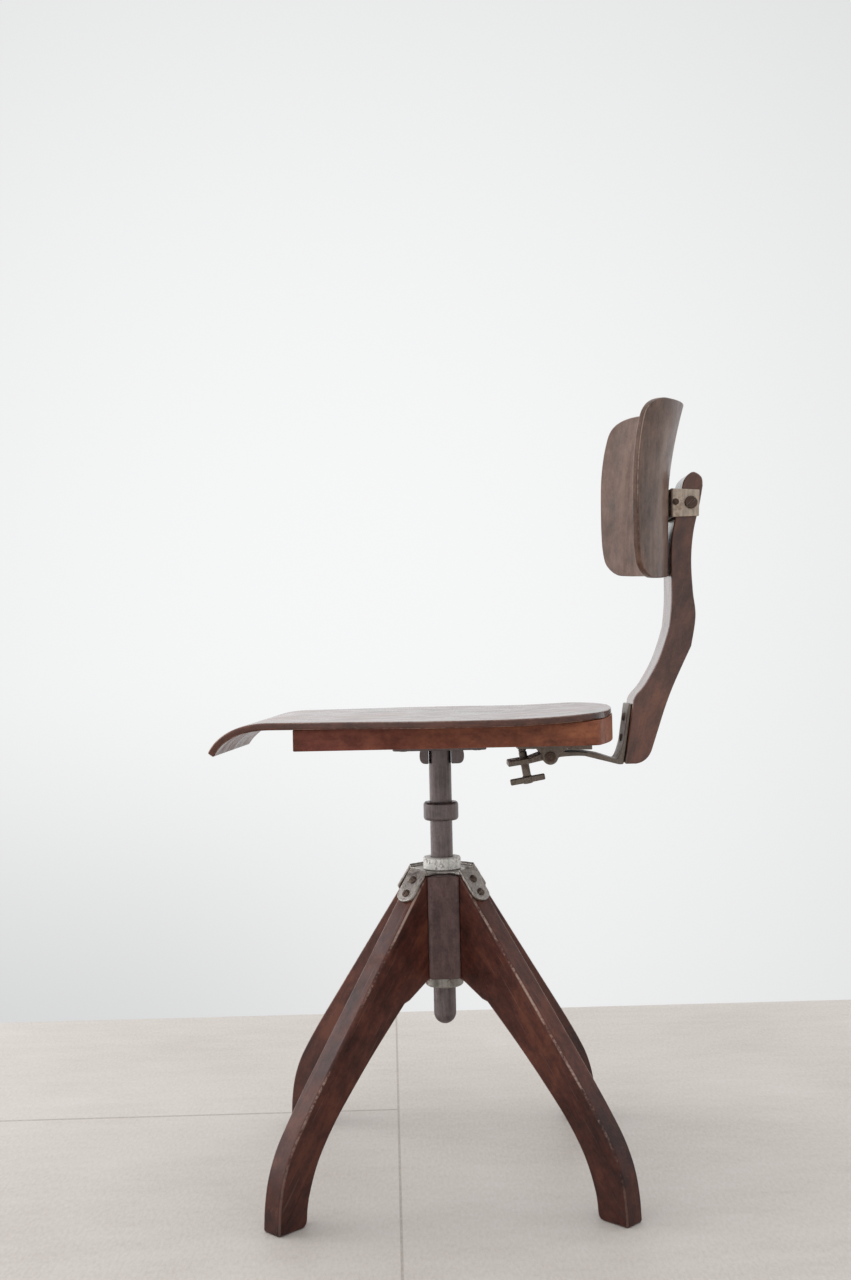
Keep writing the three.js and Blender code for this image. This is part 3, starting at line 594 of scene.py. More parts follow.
def make_hub():
    flat, corner = 13.5, (17.5, 34.5)
    eighth = [(HUB_HALF, flat), (corner[1], corner[0]), corner, (flat, HUB_HALF)]
    outline = []
    for q in range(4):
        c, s = round(math.cos(q * math.pi / 2)), round(math.sin(q * math.pi / 2))
        outline += [(a * c - b * s, a * s + b * c) for a, b in eighth]
    bm = slab_mesh(outline, HUB_BOTTOM, HUB_TOP)
    half = LEG_HALF + GAP
    for turn in QUARTERS:
        slot = box_mesh(SLOT_FLOOR, 60, -half, half, HUB_BOTTOM - 5, HUB_TOP + 5)
        slot.transform(turned(turn, "Z"))
        bm = boolean(bm, slot, "DIFFERENCE")
    bore = rod(SLEEVE_RADIUS + GAP, HUB_BOTTOM - 5, HUB_TOP + 5)
    bm = boolean(bm, bore, "DIFFERENCE")
    round_edges(bm, 2.2, 4, 20)
    grain = lambda p: (p.z, p.x, p.y)  # noqa: E731
    finish_piece("hub_block_shaped", bm, BASE_TO_ROW, "base", ["hub_block"], WOOD_HUB, grain)


SLOPE_ANGLE = math.atan(1 / LEG_SLOPE)


def on_slope(along, lift):
    """Places a thing drawn lying on z = 0 on a leg's sloping edge."""
    height = HUB_TOP + STAR_THICK
    spot = move_by((outer_radius(height), 0, height)) @ turned(SLOPE_ANGLE, "Y")
    return spot @ move_by((along, 0, lift))


def make_star():
    low, high = HUB_TOP + GAP, HUB_TOP + STAR_THICK + GAP
    reach = outer_radius(high) + 1.4
    parts = [rod(24, low, high, 64)]
    for turn in QUARTERS:
        spin = turned(turn, "Z")
        flat = box_mesh(8, reach, -ARM_HALF, ARM_HALF, low, high)
        end = Outline(-1.5, -ARM_HALF).line(26, -ARM_HALF).quad(35, -ARM_HALF, 36.5, 0)
        end.quad(35, ARM_HALF, 26, ARM_HALF).line(-1.5, ARM_HALF)
        bent = slab_mesh(end.points, GAP * 2, STAR_THICK + GAP * 2, spin @ on_slope(0, 0))
        flat.transform(spin)
        parts += [flat, bent]
    bm = remeshed(joined(*parts), 0.5, 4)
    bore = rod(SLEEVE_BORE, low - 5, high + 5)
    bm = boolean(bm, bore, "DIFFERENCE")
    hammered(bm, 6, 0.34)
    hammered(bm, 1.8, 0.16)
    finish_piece(
        "star_plate_shaped", bm, BASE_TO_ROW, "base", ["star_plate"], STEEL_STAR,
        smooth=60
    )


def ring_piece(name, node, profile, body, material, radius=0.6, place=TO_ROW, segments=80):
    bm = round_edges(lathe_mesh(profile, segments), radius, 2, 25)
    return finish_piece(name, bm, place, body, [node], material)


def make_bearings():
    low = HUB_TOP + STAR_THICK + GAP * 2
    top = 325
    ring = [
        (SLEEVE_BORE, low), (19.2, low), (19.8, low + 0.8), (19.8, top - 1.4), (18.6, top), (12.6, top),
        (SLEEVE_BORE, top - 0.8)
    ]
    ring_piece(
        "clamp_ring_turned", "clamp_ring", ring, "base", STEEL_PAINTED, 0.35, BASE_TO_ROW
    )
    bush = [
        (SLEEVE_BORE, 190), (18.2, 190), (20, 191.8), (20, HUB_BOTTOM - 1.2), (19.4, HUB_BOTTOM - GAP),
        (SLEEVE_BORE, HUB_BOTTOM - GAP)
    ]
    ring_piece("lower_bush_turned", "lower_bush", bush, "base", STEEL_WORN, 0.5, BASE_TO_ROW)
    sleeve = [
        (SLEEVE_BORE, HUB_BOTTOM + GAP), (SLEEVE_RADIUS, HUB_BOTTOM + GAP), (SLEEVE_RADIUS, HUB_TOP),
        (SLEEVE_BORE, HUB_TOP)
    ]
    ring_piece(
        "post_sleeve_turned", "post_sleeve", sleeve, "base", STEEL_DARK, 0.4, BASE_TO_ROW
    )
    for i, turn in enumerate(QUARTERS):
        pin = [(0, 17.5), (3.4, 17.5), (4, 18.1), (4, 51.4), (3.4, 52), (0, 52)]
        place = BASE_TO_ROW @ turned(turn, "Z") @ move_by((0, 0, 250))
        node = f"leg_dowel_{i + 1}"
        bm = lathe_mesh(pin, 24)
        place = place @ turned(math.pi / 2, "Y")
        grain = lambda p: (p.z, p.x, p.y)  # noqa: E731
        finish_piece(node + "_turned", bm, place, "base", [node], WOOD_FRAME, grain)


# ---- screws ---------------------------------------------------------------------------------------


def slotted_screw(head, height, shank, length, slot_width, angle, domed=True):
    """Slotted wood screw along Z, its head resting just above z = 0."""
    rim = height * (0.35 if domed else 0.8)
    profile = [
        (0, -length), (shank * 0.4, -length + 1), (shank, -length + 4), (shank, GAP), (head, GAP),
        (head, GAP + rim)
    ]
    steps = 5
    for i in range(1, steps + 1):
        a = i / steps * math.pi / 2
        r, z = head * math.cos(a * 0.92), GAP + rim + (height - GAP - rim) * math.sin(a)
        profile.append((r if i < steps else 0, z))
    bm = lathe_mesh(profile, 28)
    cutter = box_mesh(-head * 1.2, head * 1.2, -slot_width / 2, slot_width / 2, height * 0.45, height + 2)
    cutter.transform(turned(angle, "Z"))
    bm = boolean(bm, cutter, "DIFFERENCE")
    return round_edges(bm, 0.16, 2, 35)


def place_screws(node, places, body, spec, to_row=TO_ROW, first_turn=0.3):
    for i, place in enumerate(places):
        bm = slotted_screw(*spec, first_turn + 1.13 * i)
        name = f"{node}_{i + 1}"
        finish_piece(
            name + "_slotted", bm, to_row @ place, body, [name], STEEL_SCREW, smooth=40
        )


def make_base_screws():
    lift = STAR_THICK + GAP * 2
    places = []
    for turn in QUARTERS:
        for along in (11, 27):
            places.append(turned(turn, "Z") @ on_slope(along, lift))
    place_screws("star_screw", places, "base", (4.2, 1.9, 2, 16, 1.1), BASE_TO_ROW)


# ---- post -----------------------------------------------------------------------------------------

POST_RADIUS, POST_TIP, SHOULDER = 11.7, 149.5, 438.9
SPIGOT_RADIUS = 7
COLLAR_LOW, COLLAR_HIGH = 363.5, 382.8


def make_post():
    profile = []
    for i in range(13):
        a = i / 12 * math.pi / 2
        profile.append((POST_RADIUS * math.sin(a), POST_TIP + POST_RADIUS * (1 - math.cos(a))))
    profile += [(POST_RADIUS, SHOULDER), (SPIGOT_RADIUS, SHOULDER), (SPIGOT_RADIUS, 454), (6, 455), (0, 455)]
    ring_piece("post_turned", "post", profile, "post", STEEL_DARK, 0.5, segments=96)
    bore = POST_RADIUS + GAP
    middle = (COLLAR_LOW + COLLAR_HIGH) / 2
    collar = [
        (bore, COLLAR_LOW), (16.8, COLLAR_LOW), (18.4, COLLAR_LOW + 2.4), (18.4, COLLAR_HIGH - 2.4),
        (16.8, COLLAR_HIGH), (bore, COLLAR_HIGH)
    ]
    bm = lathe_mesh(collar, 96)
    along_y = move_by((0, 0, middle)) @ turned(-math.pi / 2, "X")
    hole = rod(3.3, bore - 3, 25, 32)
    hole.transform(along_y)
    bm = round_edges(boolean(bm, hole, "DIFFERENCE"), 0.8, 3, 25)
    finish_piece("stop_collar_turned", bm, TO_ROW, "post", ["stop_collar"], STEEL_DARK)
    pin = lathe_mesh([(0, POST_RADIUS + GAP), (3, POST_RADIUS + GAP), (3, 17.2), (2.4, 18), (0, 18)], 32)
    slot = box_mesh(-4, 4, -0.5, 0.5, 16.6, 20)
    pin = boolean(pin, slot, "DIFFERENCE")
    finish_piece(
        "collar_set_screw_slotted", pin, TO_ROW @ along_y, "post", ["collar_set_screw"],
        STEEL_SCREW
    )
    hexagon = [(12.5 * math.cos(i * math.pi / 3), 12.5 * math.sin(i * math.pi / 3)) for i in range(6)]
    nut = slab_mesh(hexagon, 445.7, 453.5)
    nut = boolean(nut, rod(SPIGOT_RADIUS + GAP, 440, 460, 48), "DIFFERENCE")
    round_edges(nut, 0.7, 2, 35)
    finish_piece("spigot_nut_shaped", nut, TO_ROW, "post", ["spigot_nut"], STEEL_SCREW)
    washer = [(SPIGOT_RADIUS + GAP, 443.3), (14, 443.3), (14, 445.4), (SPIGOT_RADIUS + GAP, 445.4)]
    ring_piece("spigot_washer_turned", "spigot_washer", washer, "post", STEEL_DARK, 0.4)


# ---- seat -----------------------------------------------------------------------------------------

PLATE_LOW, PLATE_HIGH, BRACKET_LOW = 439.2, 443, 437.4
RAIL_LOW, RAIL_WIDTH = 447.8, 22
FRAME_FRONT, FRAME_HALF, FRAME_SIDE_END, FRAME_REAR = -141.5, 146, 141, 179.2
REAR_RAIL_INNER = 139.5
PLY = 7
SEAT_TOP, SEAT_FRONT, SEAT_REAR, SEAT_HALF = 476, -223.7, 178.6, 185
RISE_FROM, REAR_RISE = 60, 5.5
UNDER_SCREW = (4.2, 0.9, 2, 17, 1.1)


def rise(x):
    return REAR_RISE * (max(0, x - RISE_FROM) / (SEAT_REAR - RISE_FROM)) ** 2


def underside(x):
    return SEAT_TOP - PLY - GAP + rise(x)


def rail_outline(x0, x1, low):
    shape = Outline(x0, low).line(x1, low)
    steps = 24
    for i in range(steps + 1):
        x = x1 + (x0 - x1) * i / steps
        shape.line(x, underside(x))
    return shape.points


def frame_outline():
    half = FRAME_HALF
    shape = Outline(FRAME_FRONT, -half).line(FRAME_SIDE_END, -half)
    shape.quad(FRAME_SIDE_END + 11, -half, FRAME_SIDE_END + 14, -half + 10, 8)
    shape.quad(FRAME_REAR, -half / 2, FRAME_REAR, 0, 16).quad(
        FRAME_REAR, half / 2, FRAME_SIDE_END + 14, half - 10, 16
    )
    shape.quad(FRAME_SIDE_END + 11, half, FRAME_SIDE_END, half, 8).line(FRAME_FRONT, half)
    return shape.points


def make_frame():
    inner = FRAME_HALF - RAIL_WIDTH
    full = rail_outline(FRAME_FRONT, FRAME_REAR + 1, RAIL_LOW)
    spans = {
        "side_rail_left": (full, -FRAME_HALF - 1, -inner),
        "side_rail_right": (full, inner, FRAME_HALF + 1),
        "front_rail": (
            rail_outline(FRAME_FRONT, FRAME_FRONT + RAIL_WIDTH, RAIL_LOW), -inner + GAP, inner - GAP
        ),
        "rear_rail": (rail_outline(REAR_RAIL_INNER, FRAME_REAR + 1, RAIL_LOW), -inner + GAP, inner - GAP),
    }
    for i, (node, (side, y0, y1)) in enumerate(spans.items()):
        blank = prism_mesh(side, y0, y1)
        bm = boolean(
            blank, slab_mesh(frame_outline(), 430, 500), "INTERSECT"
        ) if node != "front_rail" else blank
        round_edges(bm, 1.1, 3, 30)
        if node.startswith("side"):
            grain = lambda p, i=i: (p.x + 500 * i, p.z, p.y)  # noqa: E731
        else:
            grain = lambda p, i=i: (p.y + 500 * i, p.z, p.x)  # noqa: E731
        finish_piece(node + "_shaped", bm, TO_ROW, "seat", [node], WOOD_FRAME, grain)
    board = prism_mesh(rail_outline(FRAME_FRONT + RAIL_WIDTH + GAP, REAR_RAIL_INNER - GAP, 443.3), -48, 48)
    recess = rod(17, 440, 458, 64)
    board = round_edges(boolean(board, recess, "DIFFERENCE"), 0.9, 2, 30)
    grain = lambda p: (p.x + 2500, p.y, p.z)  # noqa: E731
    finish_piece(
        "centre_batten_shaped", board, TO_ROW, "seat", ["centre_batten"], WOOD_FRAME,
        grain
    )


def rounded_square(half, radius):
    shape = Outline(-half + radius, -half)
    for sx, sy in ((1, -1), (1, 1), (-1, 1), (-1, -1)):
        if sx * sy < 0:
            shape.line(sx * (half - radius), sy * half).quad(
                sx * half, sy * half, sx * half, sy * (half - radius), 6
            )
        else:
            shape.line(sx * half, sy * (half - radius)).quad(
                sx * half, sy * half, sx * (half - radius), sy * half, 6
            )
    return shape.points


def make_seat_plate():
    plate = slab_mesh(rounded_square(48.2, 6), PLATE_LOW, PLATE_HIGH, move_by((-0.7, 0, 0)))
    lugs = []
    inner, low = POST_RADIUS + GAP, 422.8
    for side, outer in ((1, 25.4), (-1, 21.4)):
        lug = Outline(inner, PLATE_LOW + 1).line(inner, low).line(outer - 6.5, low)
        lug.quad(outer, low, outer, low + 8, 10).quad(outer, PLATE_LOW - 2, outer - 3, PLATE_LOW + 1, 8)
        lugs.append(prism_mesh([(side * x, z) for x, z in lug.points], -8, 8))
    bm = union(plate, *lugs)
    bore = rod(SPIGOT_RADIUS + GAP, 430, 450, 48)
    bm = round_edges(boolean(bm, bore, "DIFFERENCE"), 1.0, 3, 30)
    finish_piece("seat_plate_shaped", bm, TO_ROW, "seat", ["seat_plate"], STEEL_DARK)
    over = turned(math.pi, "X")
    corners = [move_by((x, y, PLATE_LOW)) @ over for x, y in ((-38, -38), (38, -38), (38, 38), (-38, 38))]
    place_screws("seat_plate_screw", corners, "seat", UNDER_SCREW)
    spots = [move_by((x, y, BRACKET_LOW)) @ over for x, y in ((98, -10), (98, 10), (128, -10), (128, 10))]
    place_screws("tilt_bracket_screw", spots, "seat", UNDER_SCREW, first_turn=1.0)


SEAT_HALF_OUTLINE = [
    (-226.7, 0), (-225.7, 90), (-223.7, 131), (-214, 145), (-182, 151.5), (-110, 162), (-40, 179),
    (10, 185), (55, 180), (95, 167), (135, 151), (155.5, 132), (168, 92), (175.8, 45), (178.6, 0),
]


LIP_END = -221.3  # the lip's end at mid thickness
LIP_TWIST = 0.02  # the lip hangs lower toward the sitter's right


def seat_profile():
    """The seat's middle surface in side view, from the lip to the rear, as (x, z) points."""
    top = Outline(SEAT_FRONT, 449.2).cubic(-213, 466.5, -191, SEAT_TOP, -165, SEAT_TOP, 40)
    low = Outline(SEAT_FRONT + 6.8, 444.4).cubic(
        -208.5, 460.6, -190.5, SEAT_TOP - PLY, -163, SEAT_TOP - PLY, 40
    )
    middle = [(LIP_END, 445.4)] + [
        ((a[0] + b[0]) / 2, (a[1] + b[1]) / 2) for a, b in zip(top.points, low.points)
    ]
    steps = 60
    for i in range(1, steps + 1):
        x = -164 + (SEAT_REAR + 164) * i / steps
        middle.append((x, SEAT_TOP - PLY / 2 + rise(x)))
    return middle


def walked(points):
    """Distance along the points at each of them."""
    gone = [0.0]
    for a, b in zip(points, points[1:]):
        gone.append(gone[-1] + math.dist(a, b))
    return gone


def looked_up(keys, values, key):
    """values at key, straight between the rising keys."""
    if key <= keys[0]:
        return values[0]
    for i in range(1, len(keys)):
        if key <= keys[i]:
            t = (key - keys[i - 1]) / (keys[i] - keys[i - 1])
            return values[i - 1] + (values[i] - values[i - 1]) * t
    return values[-1]


def smooth_outline(half, steps=10):
    curve = Outline(*half[0])
    flat = [c for p in half[1:] for c in p]
    curve.spline(*flat, steps=steps)
    return curve.points


def mark_side(piece, low, high):
    """The side attribute: 1 on the board's edge between its faces, by the drawn thickness."""
    mesh = piece.data
    drawn = [0.0] * (3 * len(mesh.vertices))
    mesh.attributes["grain"].data.foreach_get("vector", drawn)
    side = mesh.attributes.new("side", "FLOAT", "POINT")
    inner = [1.0 if low * MM < drawn[3 * i + 2] < high * MM else 0.0 for i in range(len(mesh.vertices))]
    side.data.foreach_set("value", inner)


def edge_band(bm, low, high):
    """An extra loop round the board's edge at its middle thickness."""
    for at in (low, high):
        geometry = bm.verts[:] + bm.edges[:] + bm.faces[:]
        bmesh.ops.bisect_plane(bm, geom=geometry, plane_co=(0, 0, at), plane_no=(0, 0, 1), dist=1e-4)


def make_seat_shell():
    middle = seat_profile()
    gone = walked(middle)
    xs, zs = [p[0] for p in middle], [p[1] for p in middle]
    half = [(looked_up(xs, gone, x), y) for x, y in smooth_outline(SEAT_HALF_OUTLINE) if x > LIP_END]
    width_at_front = looked_up(
        *zip(*[(x, y) for x, y in smooth_outline(SEAT_HALF_OUTLINE) if y < 149 and x < -185]), LIP_END
    )
    right = [(0.0, width_at_front)] + half
    outline = [(s, -y) for s, y in reversed(right)] + right[:]
    outline = spaced([(s, y) for s, y in outline], 0.6)
    bm = slab_mesh(outline, 0, PLY)
    round_edges(bm, 1.7, 4, 20)
    edge_band(bm, 2.2, PLY - 2.2)
    cut_across(bm, (1, 0, 0), 0, gone[-1], 4)
    cut_across(bm, (0, 1, 0), -SEAT_HALF, SEAT_HALF, 12)
    flat = {v: v.co.copy() for v in bm.verts}
    for v, p in flat.items():
        s = p.x
        x, z = looked_up(gone, xs, s), looked_up(gone, zs, s)
        ahead = Vector(
            (
                looked_up(gone, xs, s + 1.5) - looked_up(gone, xs, s - 1.5),
                looked_up(gone, zs, s + 1.5) - looked_up(gone, zs, s - 1.5)
            )
        )
        ahead.normalize()
        t = p.z - PLY / 2
        dish = 1.4 * math.exp(-(((x - 40) / 90) ** 2) - (p.y / 95) ** 2) * (p.z / PLY)
        share = min(1, max(0, (-150 - x) / 65))
        drop = dish + LIP_TWIST * share * share * (3 - 2 * share) * max(0, p.y + 130)
        v.co = Vector((x - ahead.y * t, p.y, z + ahead.x * t - drop))
    drawn = [flat[v] for v in bm.verts]
    lookup = iter(drawn)
    piece = finish_piece(
        "seat_shell_moulded", bm, TO_ROW, "seat", ["seat_shell"], PLY_SEAT,
        lambda p: tuple(next(lookup)), smooth=45,
    )
    mark_side(piece, 1.0, PLY - 1.0)


# ---- tilt bracket, lever, screw --------------------------------------------------------------------

PIVOT_X, PIVOT_Z = 114.6, 428.7
EAR_IN, EAR_OUT, EAR_RADIUS = 20.5, 24, 8.2
LEVER_HALF = 19.8
SCREW_TILT = math.radians(9.5)
SCREW_X, SCREW_Z = 88.9, 423.5
ALONG_SCREW = move_by((SCREW_X, 0, SCREW_Z)) @ turned(-SCREW_TILT, "Y")
UPRIGHT_LEAN = 0.1535
STRAP, STRAP_BACK = 3.6, 0.5


def upright_front(z):
    return 191.8 + (z - 419.6) * UPRIGHT_LEAN


def cross_bar(radius, x, z, y0, y1, segments=48, chamfer=0.0):
    c = chamfer
    profile = [(0, y0), (radius - c, y0), (radius, y0 + c), (radius, y1 - c), (radius - c, y1), (0, y1)]
    if not c:
        profile = [(0, y0), (radius, y0), (radius, y1), (0, y1)]
    bm = lathe_mesh(profile, segments)
    bm.transform(move_by((x, 0, z)) @ turned(-math.pi / 2, "X"))
    return bm


def make_bracket():
    base = box_mesh(80.5, 158.3, -EAR_OUT, EAR_OUT, BRACKET_LOW, PLATE_HIGH)
    stop = box_mesh(134, 158.3, -EAR_OUT, EAR_OUT, 435.6, PLATE_LOW + 1)
    shape = Outline(PIVOT_X - 16, PLATE_LOW + 1).line(PIVOT_X - EAR_RADIUS, PIVOT_Z + 2)
    for i in range(25):
        a = math.pi + math.pi * i / 24
        shape.line(PIVOT_X + EAR_RADIUS * math.cos(a), PIVOT_Z + EAR_RADIUS * math.sin(a))
    shape.line(PIVOT_X + EAR_RADIUS, PIVOT_Z + 2, PIVOT_X + 24, PLATE_LOW + 1)
    ears = [prism_mesh(shape.points, *span) for span in ((-EAR_OUT, -EAR_IN), (EAR_IN, EAR_OUT))]
    bm = union(base, stop, *ears)
    bm = boolean(bm, cross_bar(4 + GAP, PIVOT_X, PIVOT_Z, -40, 40), "DIFFERENCE")
    round_edges(bm, 0.7, 2, 30)
    finish_piece("tilt_bracket_shaped", bm, TO_ROW, "seat", ["tilt_bracket"], STEEL_BRACKET)
    end = EAR_OUT + GAP
    shank = cross_bar(4, PIVOT_X, PIVOT_Z, -end - 1, end + 1)
    heads = [cross_bar(5.6, PIVOT_X, PIVOT_Z, y, y + 2.2, chamfer=0.8) for y in (-end - 2.2, end)]
    centre = cross_bar(1.7, PIVOT_X, PIVOT_Z, -end - 2.5, -end, 24, chamfer=0.3)
    bm = union(shank, *heads, centre)
    finish_piece("tilt_pivot_pin_riveted", bm, TO_ROW, "seat", ["tilt_pivot_pin"], STEEL_SCREW)


def make_lever():
    top = 482
    front, back = upright_front(443) - STRAP_BACK, upright_front(top) - STRAP_BACK
    shape = Outline(71.2, 418.8).line(93.5, 422, PIVOT_X - 7, PIVOT_Z - 3.6)
    shape.quad(PIVOT_X - 2, PIVOT_Z - 7.4, PIVOT_X + 3, PIVOT_Z - 6.4)
    shape.quad(PIVOT_X + 7, PIVOT_Z - 5, 124, 428).quad(140, 429.6, 151, 428.6).line(184.1, 419.8)
    shape.quad(188, 418.6, 191, 419.6).line(front, 443, back, top, back - STRAP, top, front - STRAP, 443)
    shape.quad(186.5, 425, 183, 424.6).line(167, 430).quad(151, 433.6, 136, 433.4)
    shape.line(PIVOT_X + 4, 434.6).quad(PIVOT_X - 3, 435.8, PIVOT_X - 8, 432.4).line(93.6, 427.6, 71.4, 424.2)
    bm = prism_mesh(shape.points, -LEVER_HALF, LEVER_HALF)
    bm = boolean(bm, cross_bar(4 + GAP, PIVOT_X, PIVOT_Z, -40, 40), "DIFFERENCE")
    hole = rod(4.7, -12, 12, 40)
    hole.transform(ALONG_SCREW)
    bm = boolean(bm, hole, "DIFFERENCE")
    round_edges(bm, 0.9, 3, 35)
    finish_piece("tilt_lever_bent", bm, TO_ROW, "back_arm", ["tilt_lever"], STEEL_BRACKET)
    square = turned(math.atan(UPRIGHT_LEAN) - math.pi / 2, "Y")
    spots = [move_by((upright_front(z) - STRAP_BACK - STRAP, 0, z)) @ square for z in (446, 468)]
    place_screws("upright_screw", spots, "back_arm", (4.4, 2, 2.1, 20, 1.2), first_turn=0.7)


def make_upright():
    shape = Outline(192, 419.8).line(upright_front(486), 486)
    shape.spline(205, 491.5, 214.4, 502.4, 227.4, 524.4, 235.6, 544.9, 241, 562.4)
    shape.spline(243.8, 590, 244.5, 633, 246, 656, 249.8, 674).line(257, 702)
    shape.spline(260.2, 714.6, 269.4, 722.4, 278.2, 717, 279.5, 708)
    shape.spline(275.7, 688.5, 268.7, 659.4, 265.8, 630.3, 266.8, 598.5, 269, 572, 263.8, 541.2)
    shape.spline(245.5, 503.3, 235.3, 478.1, 226.9, 453.3, 220.2, 433.4).quad(215.5, 421.5, 203.8, 419.8)
    bm = round_edges(prism_mesh(shape.points, -24, 24), 1.6, 4, 34)
    grain = lambda p: (p.z + 4000, p.y + 200, p.x - 0.25 * (p.z - 560))  # noqa: E731
    finish_piece(
        "back_upright_shaped", bm, TO_ROW, "back_arm", ["back_upright"], WOOD_UPRIGHT,
        grain, smooth=40
    )


def make_tilt_screw():
    shank = lathe_mesh(
        [(0, -24), (4.6, -24), (6.2, -22.6), (6.2, -17.6), (4.3, -15.6), (4.3, 9.4), (3.7, 10), (0, 10)],
        48
    )
    bar = Outline(-18.5, -2.6).quad(0, -5.4, 18.5, -2.6, 16).line(18.5, 2.6).quad(0, 5.4, -18.5, 2.6, 16)
    handle = slab_mesh(bar.points, -23.2, -16.8)
    round_edges(handle, 1.3, 3, 40)
    bm = union(shank, handle)
    finish_piece(
        "tilt_screw_handled", bm, TO_ROW @ ALONG_SCREW, "tilt_screw", ["tilt_screw"],
        STEEL_BRACKET, smooth=38
    )
    foot = lathe_mesh([(0, 10.3), (3.4, 10.3), (4.2, 11), (4.2, 12.2), (3.4, 12.9), (0, 12.9)], 40)
    finish_piece(
        "screw_foot_turned", foot, TO_ROW @ ALONG_SCREW, "screw_tip", ["screw_foot"],
        STEEL_BRACKET
    )


# ---- backrest -------------------------------------------------------------------------------------

BOLT_X, BOLT_Z = 265.8, 690.2
BACK_LOW, BACK_TOP = 615, 793
BACK_ROLL = 0.063  # mounted a little askew, higher at the sitter's right
BACK_YAW = -0.006  # and a little further forward at the left
BACK_RADIUS, BACK_AXIS_X = 205, 243.7
FORK_WEB, FORK_LOW, FORK_TOP, FORK_IN, FORK_OUT = 245.5, 675.3, 705.3, 24.4, 27.4
RIVET_X = 250


def flare(y, z):
    lean = (z - 660) * 0.02
    return lean + 14 * (max(0, z - 700) / 86) ** 1.6 * max(0, 1 - (y / 140) ** 2)


BACK_OUTLINE = [
    (BACK_LOW, 0), (BACK_LOW, 50), (BACK_LOW, 92), (617, 110), (627, 123), (643, 128), (665, 130),
    (690, 130.8), (722, 131), (745, 129.6), (764, 127), (779, 123), (788, 114.5), (792.4, 100),
    (BACK_TOP, 80), (BACK_TOP, 40), (BACK_TOP, 0),
]


def make_back_shell():
    radius = BACK_RADIUS - PLY / 2
    half = [(radius * math.asin(0.996 * y / radius), z) for z, y in smooth_outline(BACK_OUTLINE, 8)]
    outline = half + [(-y, z) for y, z in reversed(half[1:-1])]
    bm = slab_mesh(spaced(outline, 0.6), 0, PLY)
    round_edges(bm, 1.7, 4, 20)
    edge_band(bm, 2.2, PLY - 2.2)
    cut_across(bm, (1, 0, 0), -170, 170, 5)
    cut_across(bm, (0, 1, 0), BACK_LOW, BACK_TOP, 8)
    centre = BACK_AXIS_X - BACK_RADIUS
    drawn = []
    for v in bm.verts:
        p = v.co.copy()
        drawn.append((p.y, p.x, p.z))
        turn = p.x / radius
        at = BACK_RADIUS - PLY + p.z
        y = at * math.sin(turn)
        v.co = Vector((centre + at * math.cos(turn) + flare(y, p.y), y, p.y))
    middle = move_by((BACK_AXIS_X, 0, BOLT_Z))
    askew = turned(BACK_YAW, "Z") @ turned(BACK_ROLL, "X")
    bm.transform(middle @ askew @ middle.inverted())
    bmesh.ops.recalc_face_normals(bm, faces=bm.faces)
    lookup = iter(drawn)
    piece = finish_piece(
        "back_shell_moulded", bm, TO_ROW, "backrest", ["back_shell"], PLY_BACK,
        lambda p: next(lookup), smooth=45,
    )
    mark_side(piece, 1.0, PLY - 1.0)


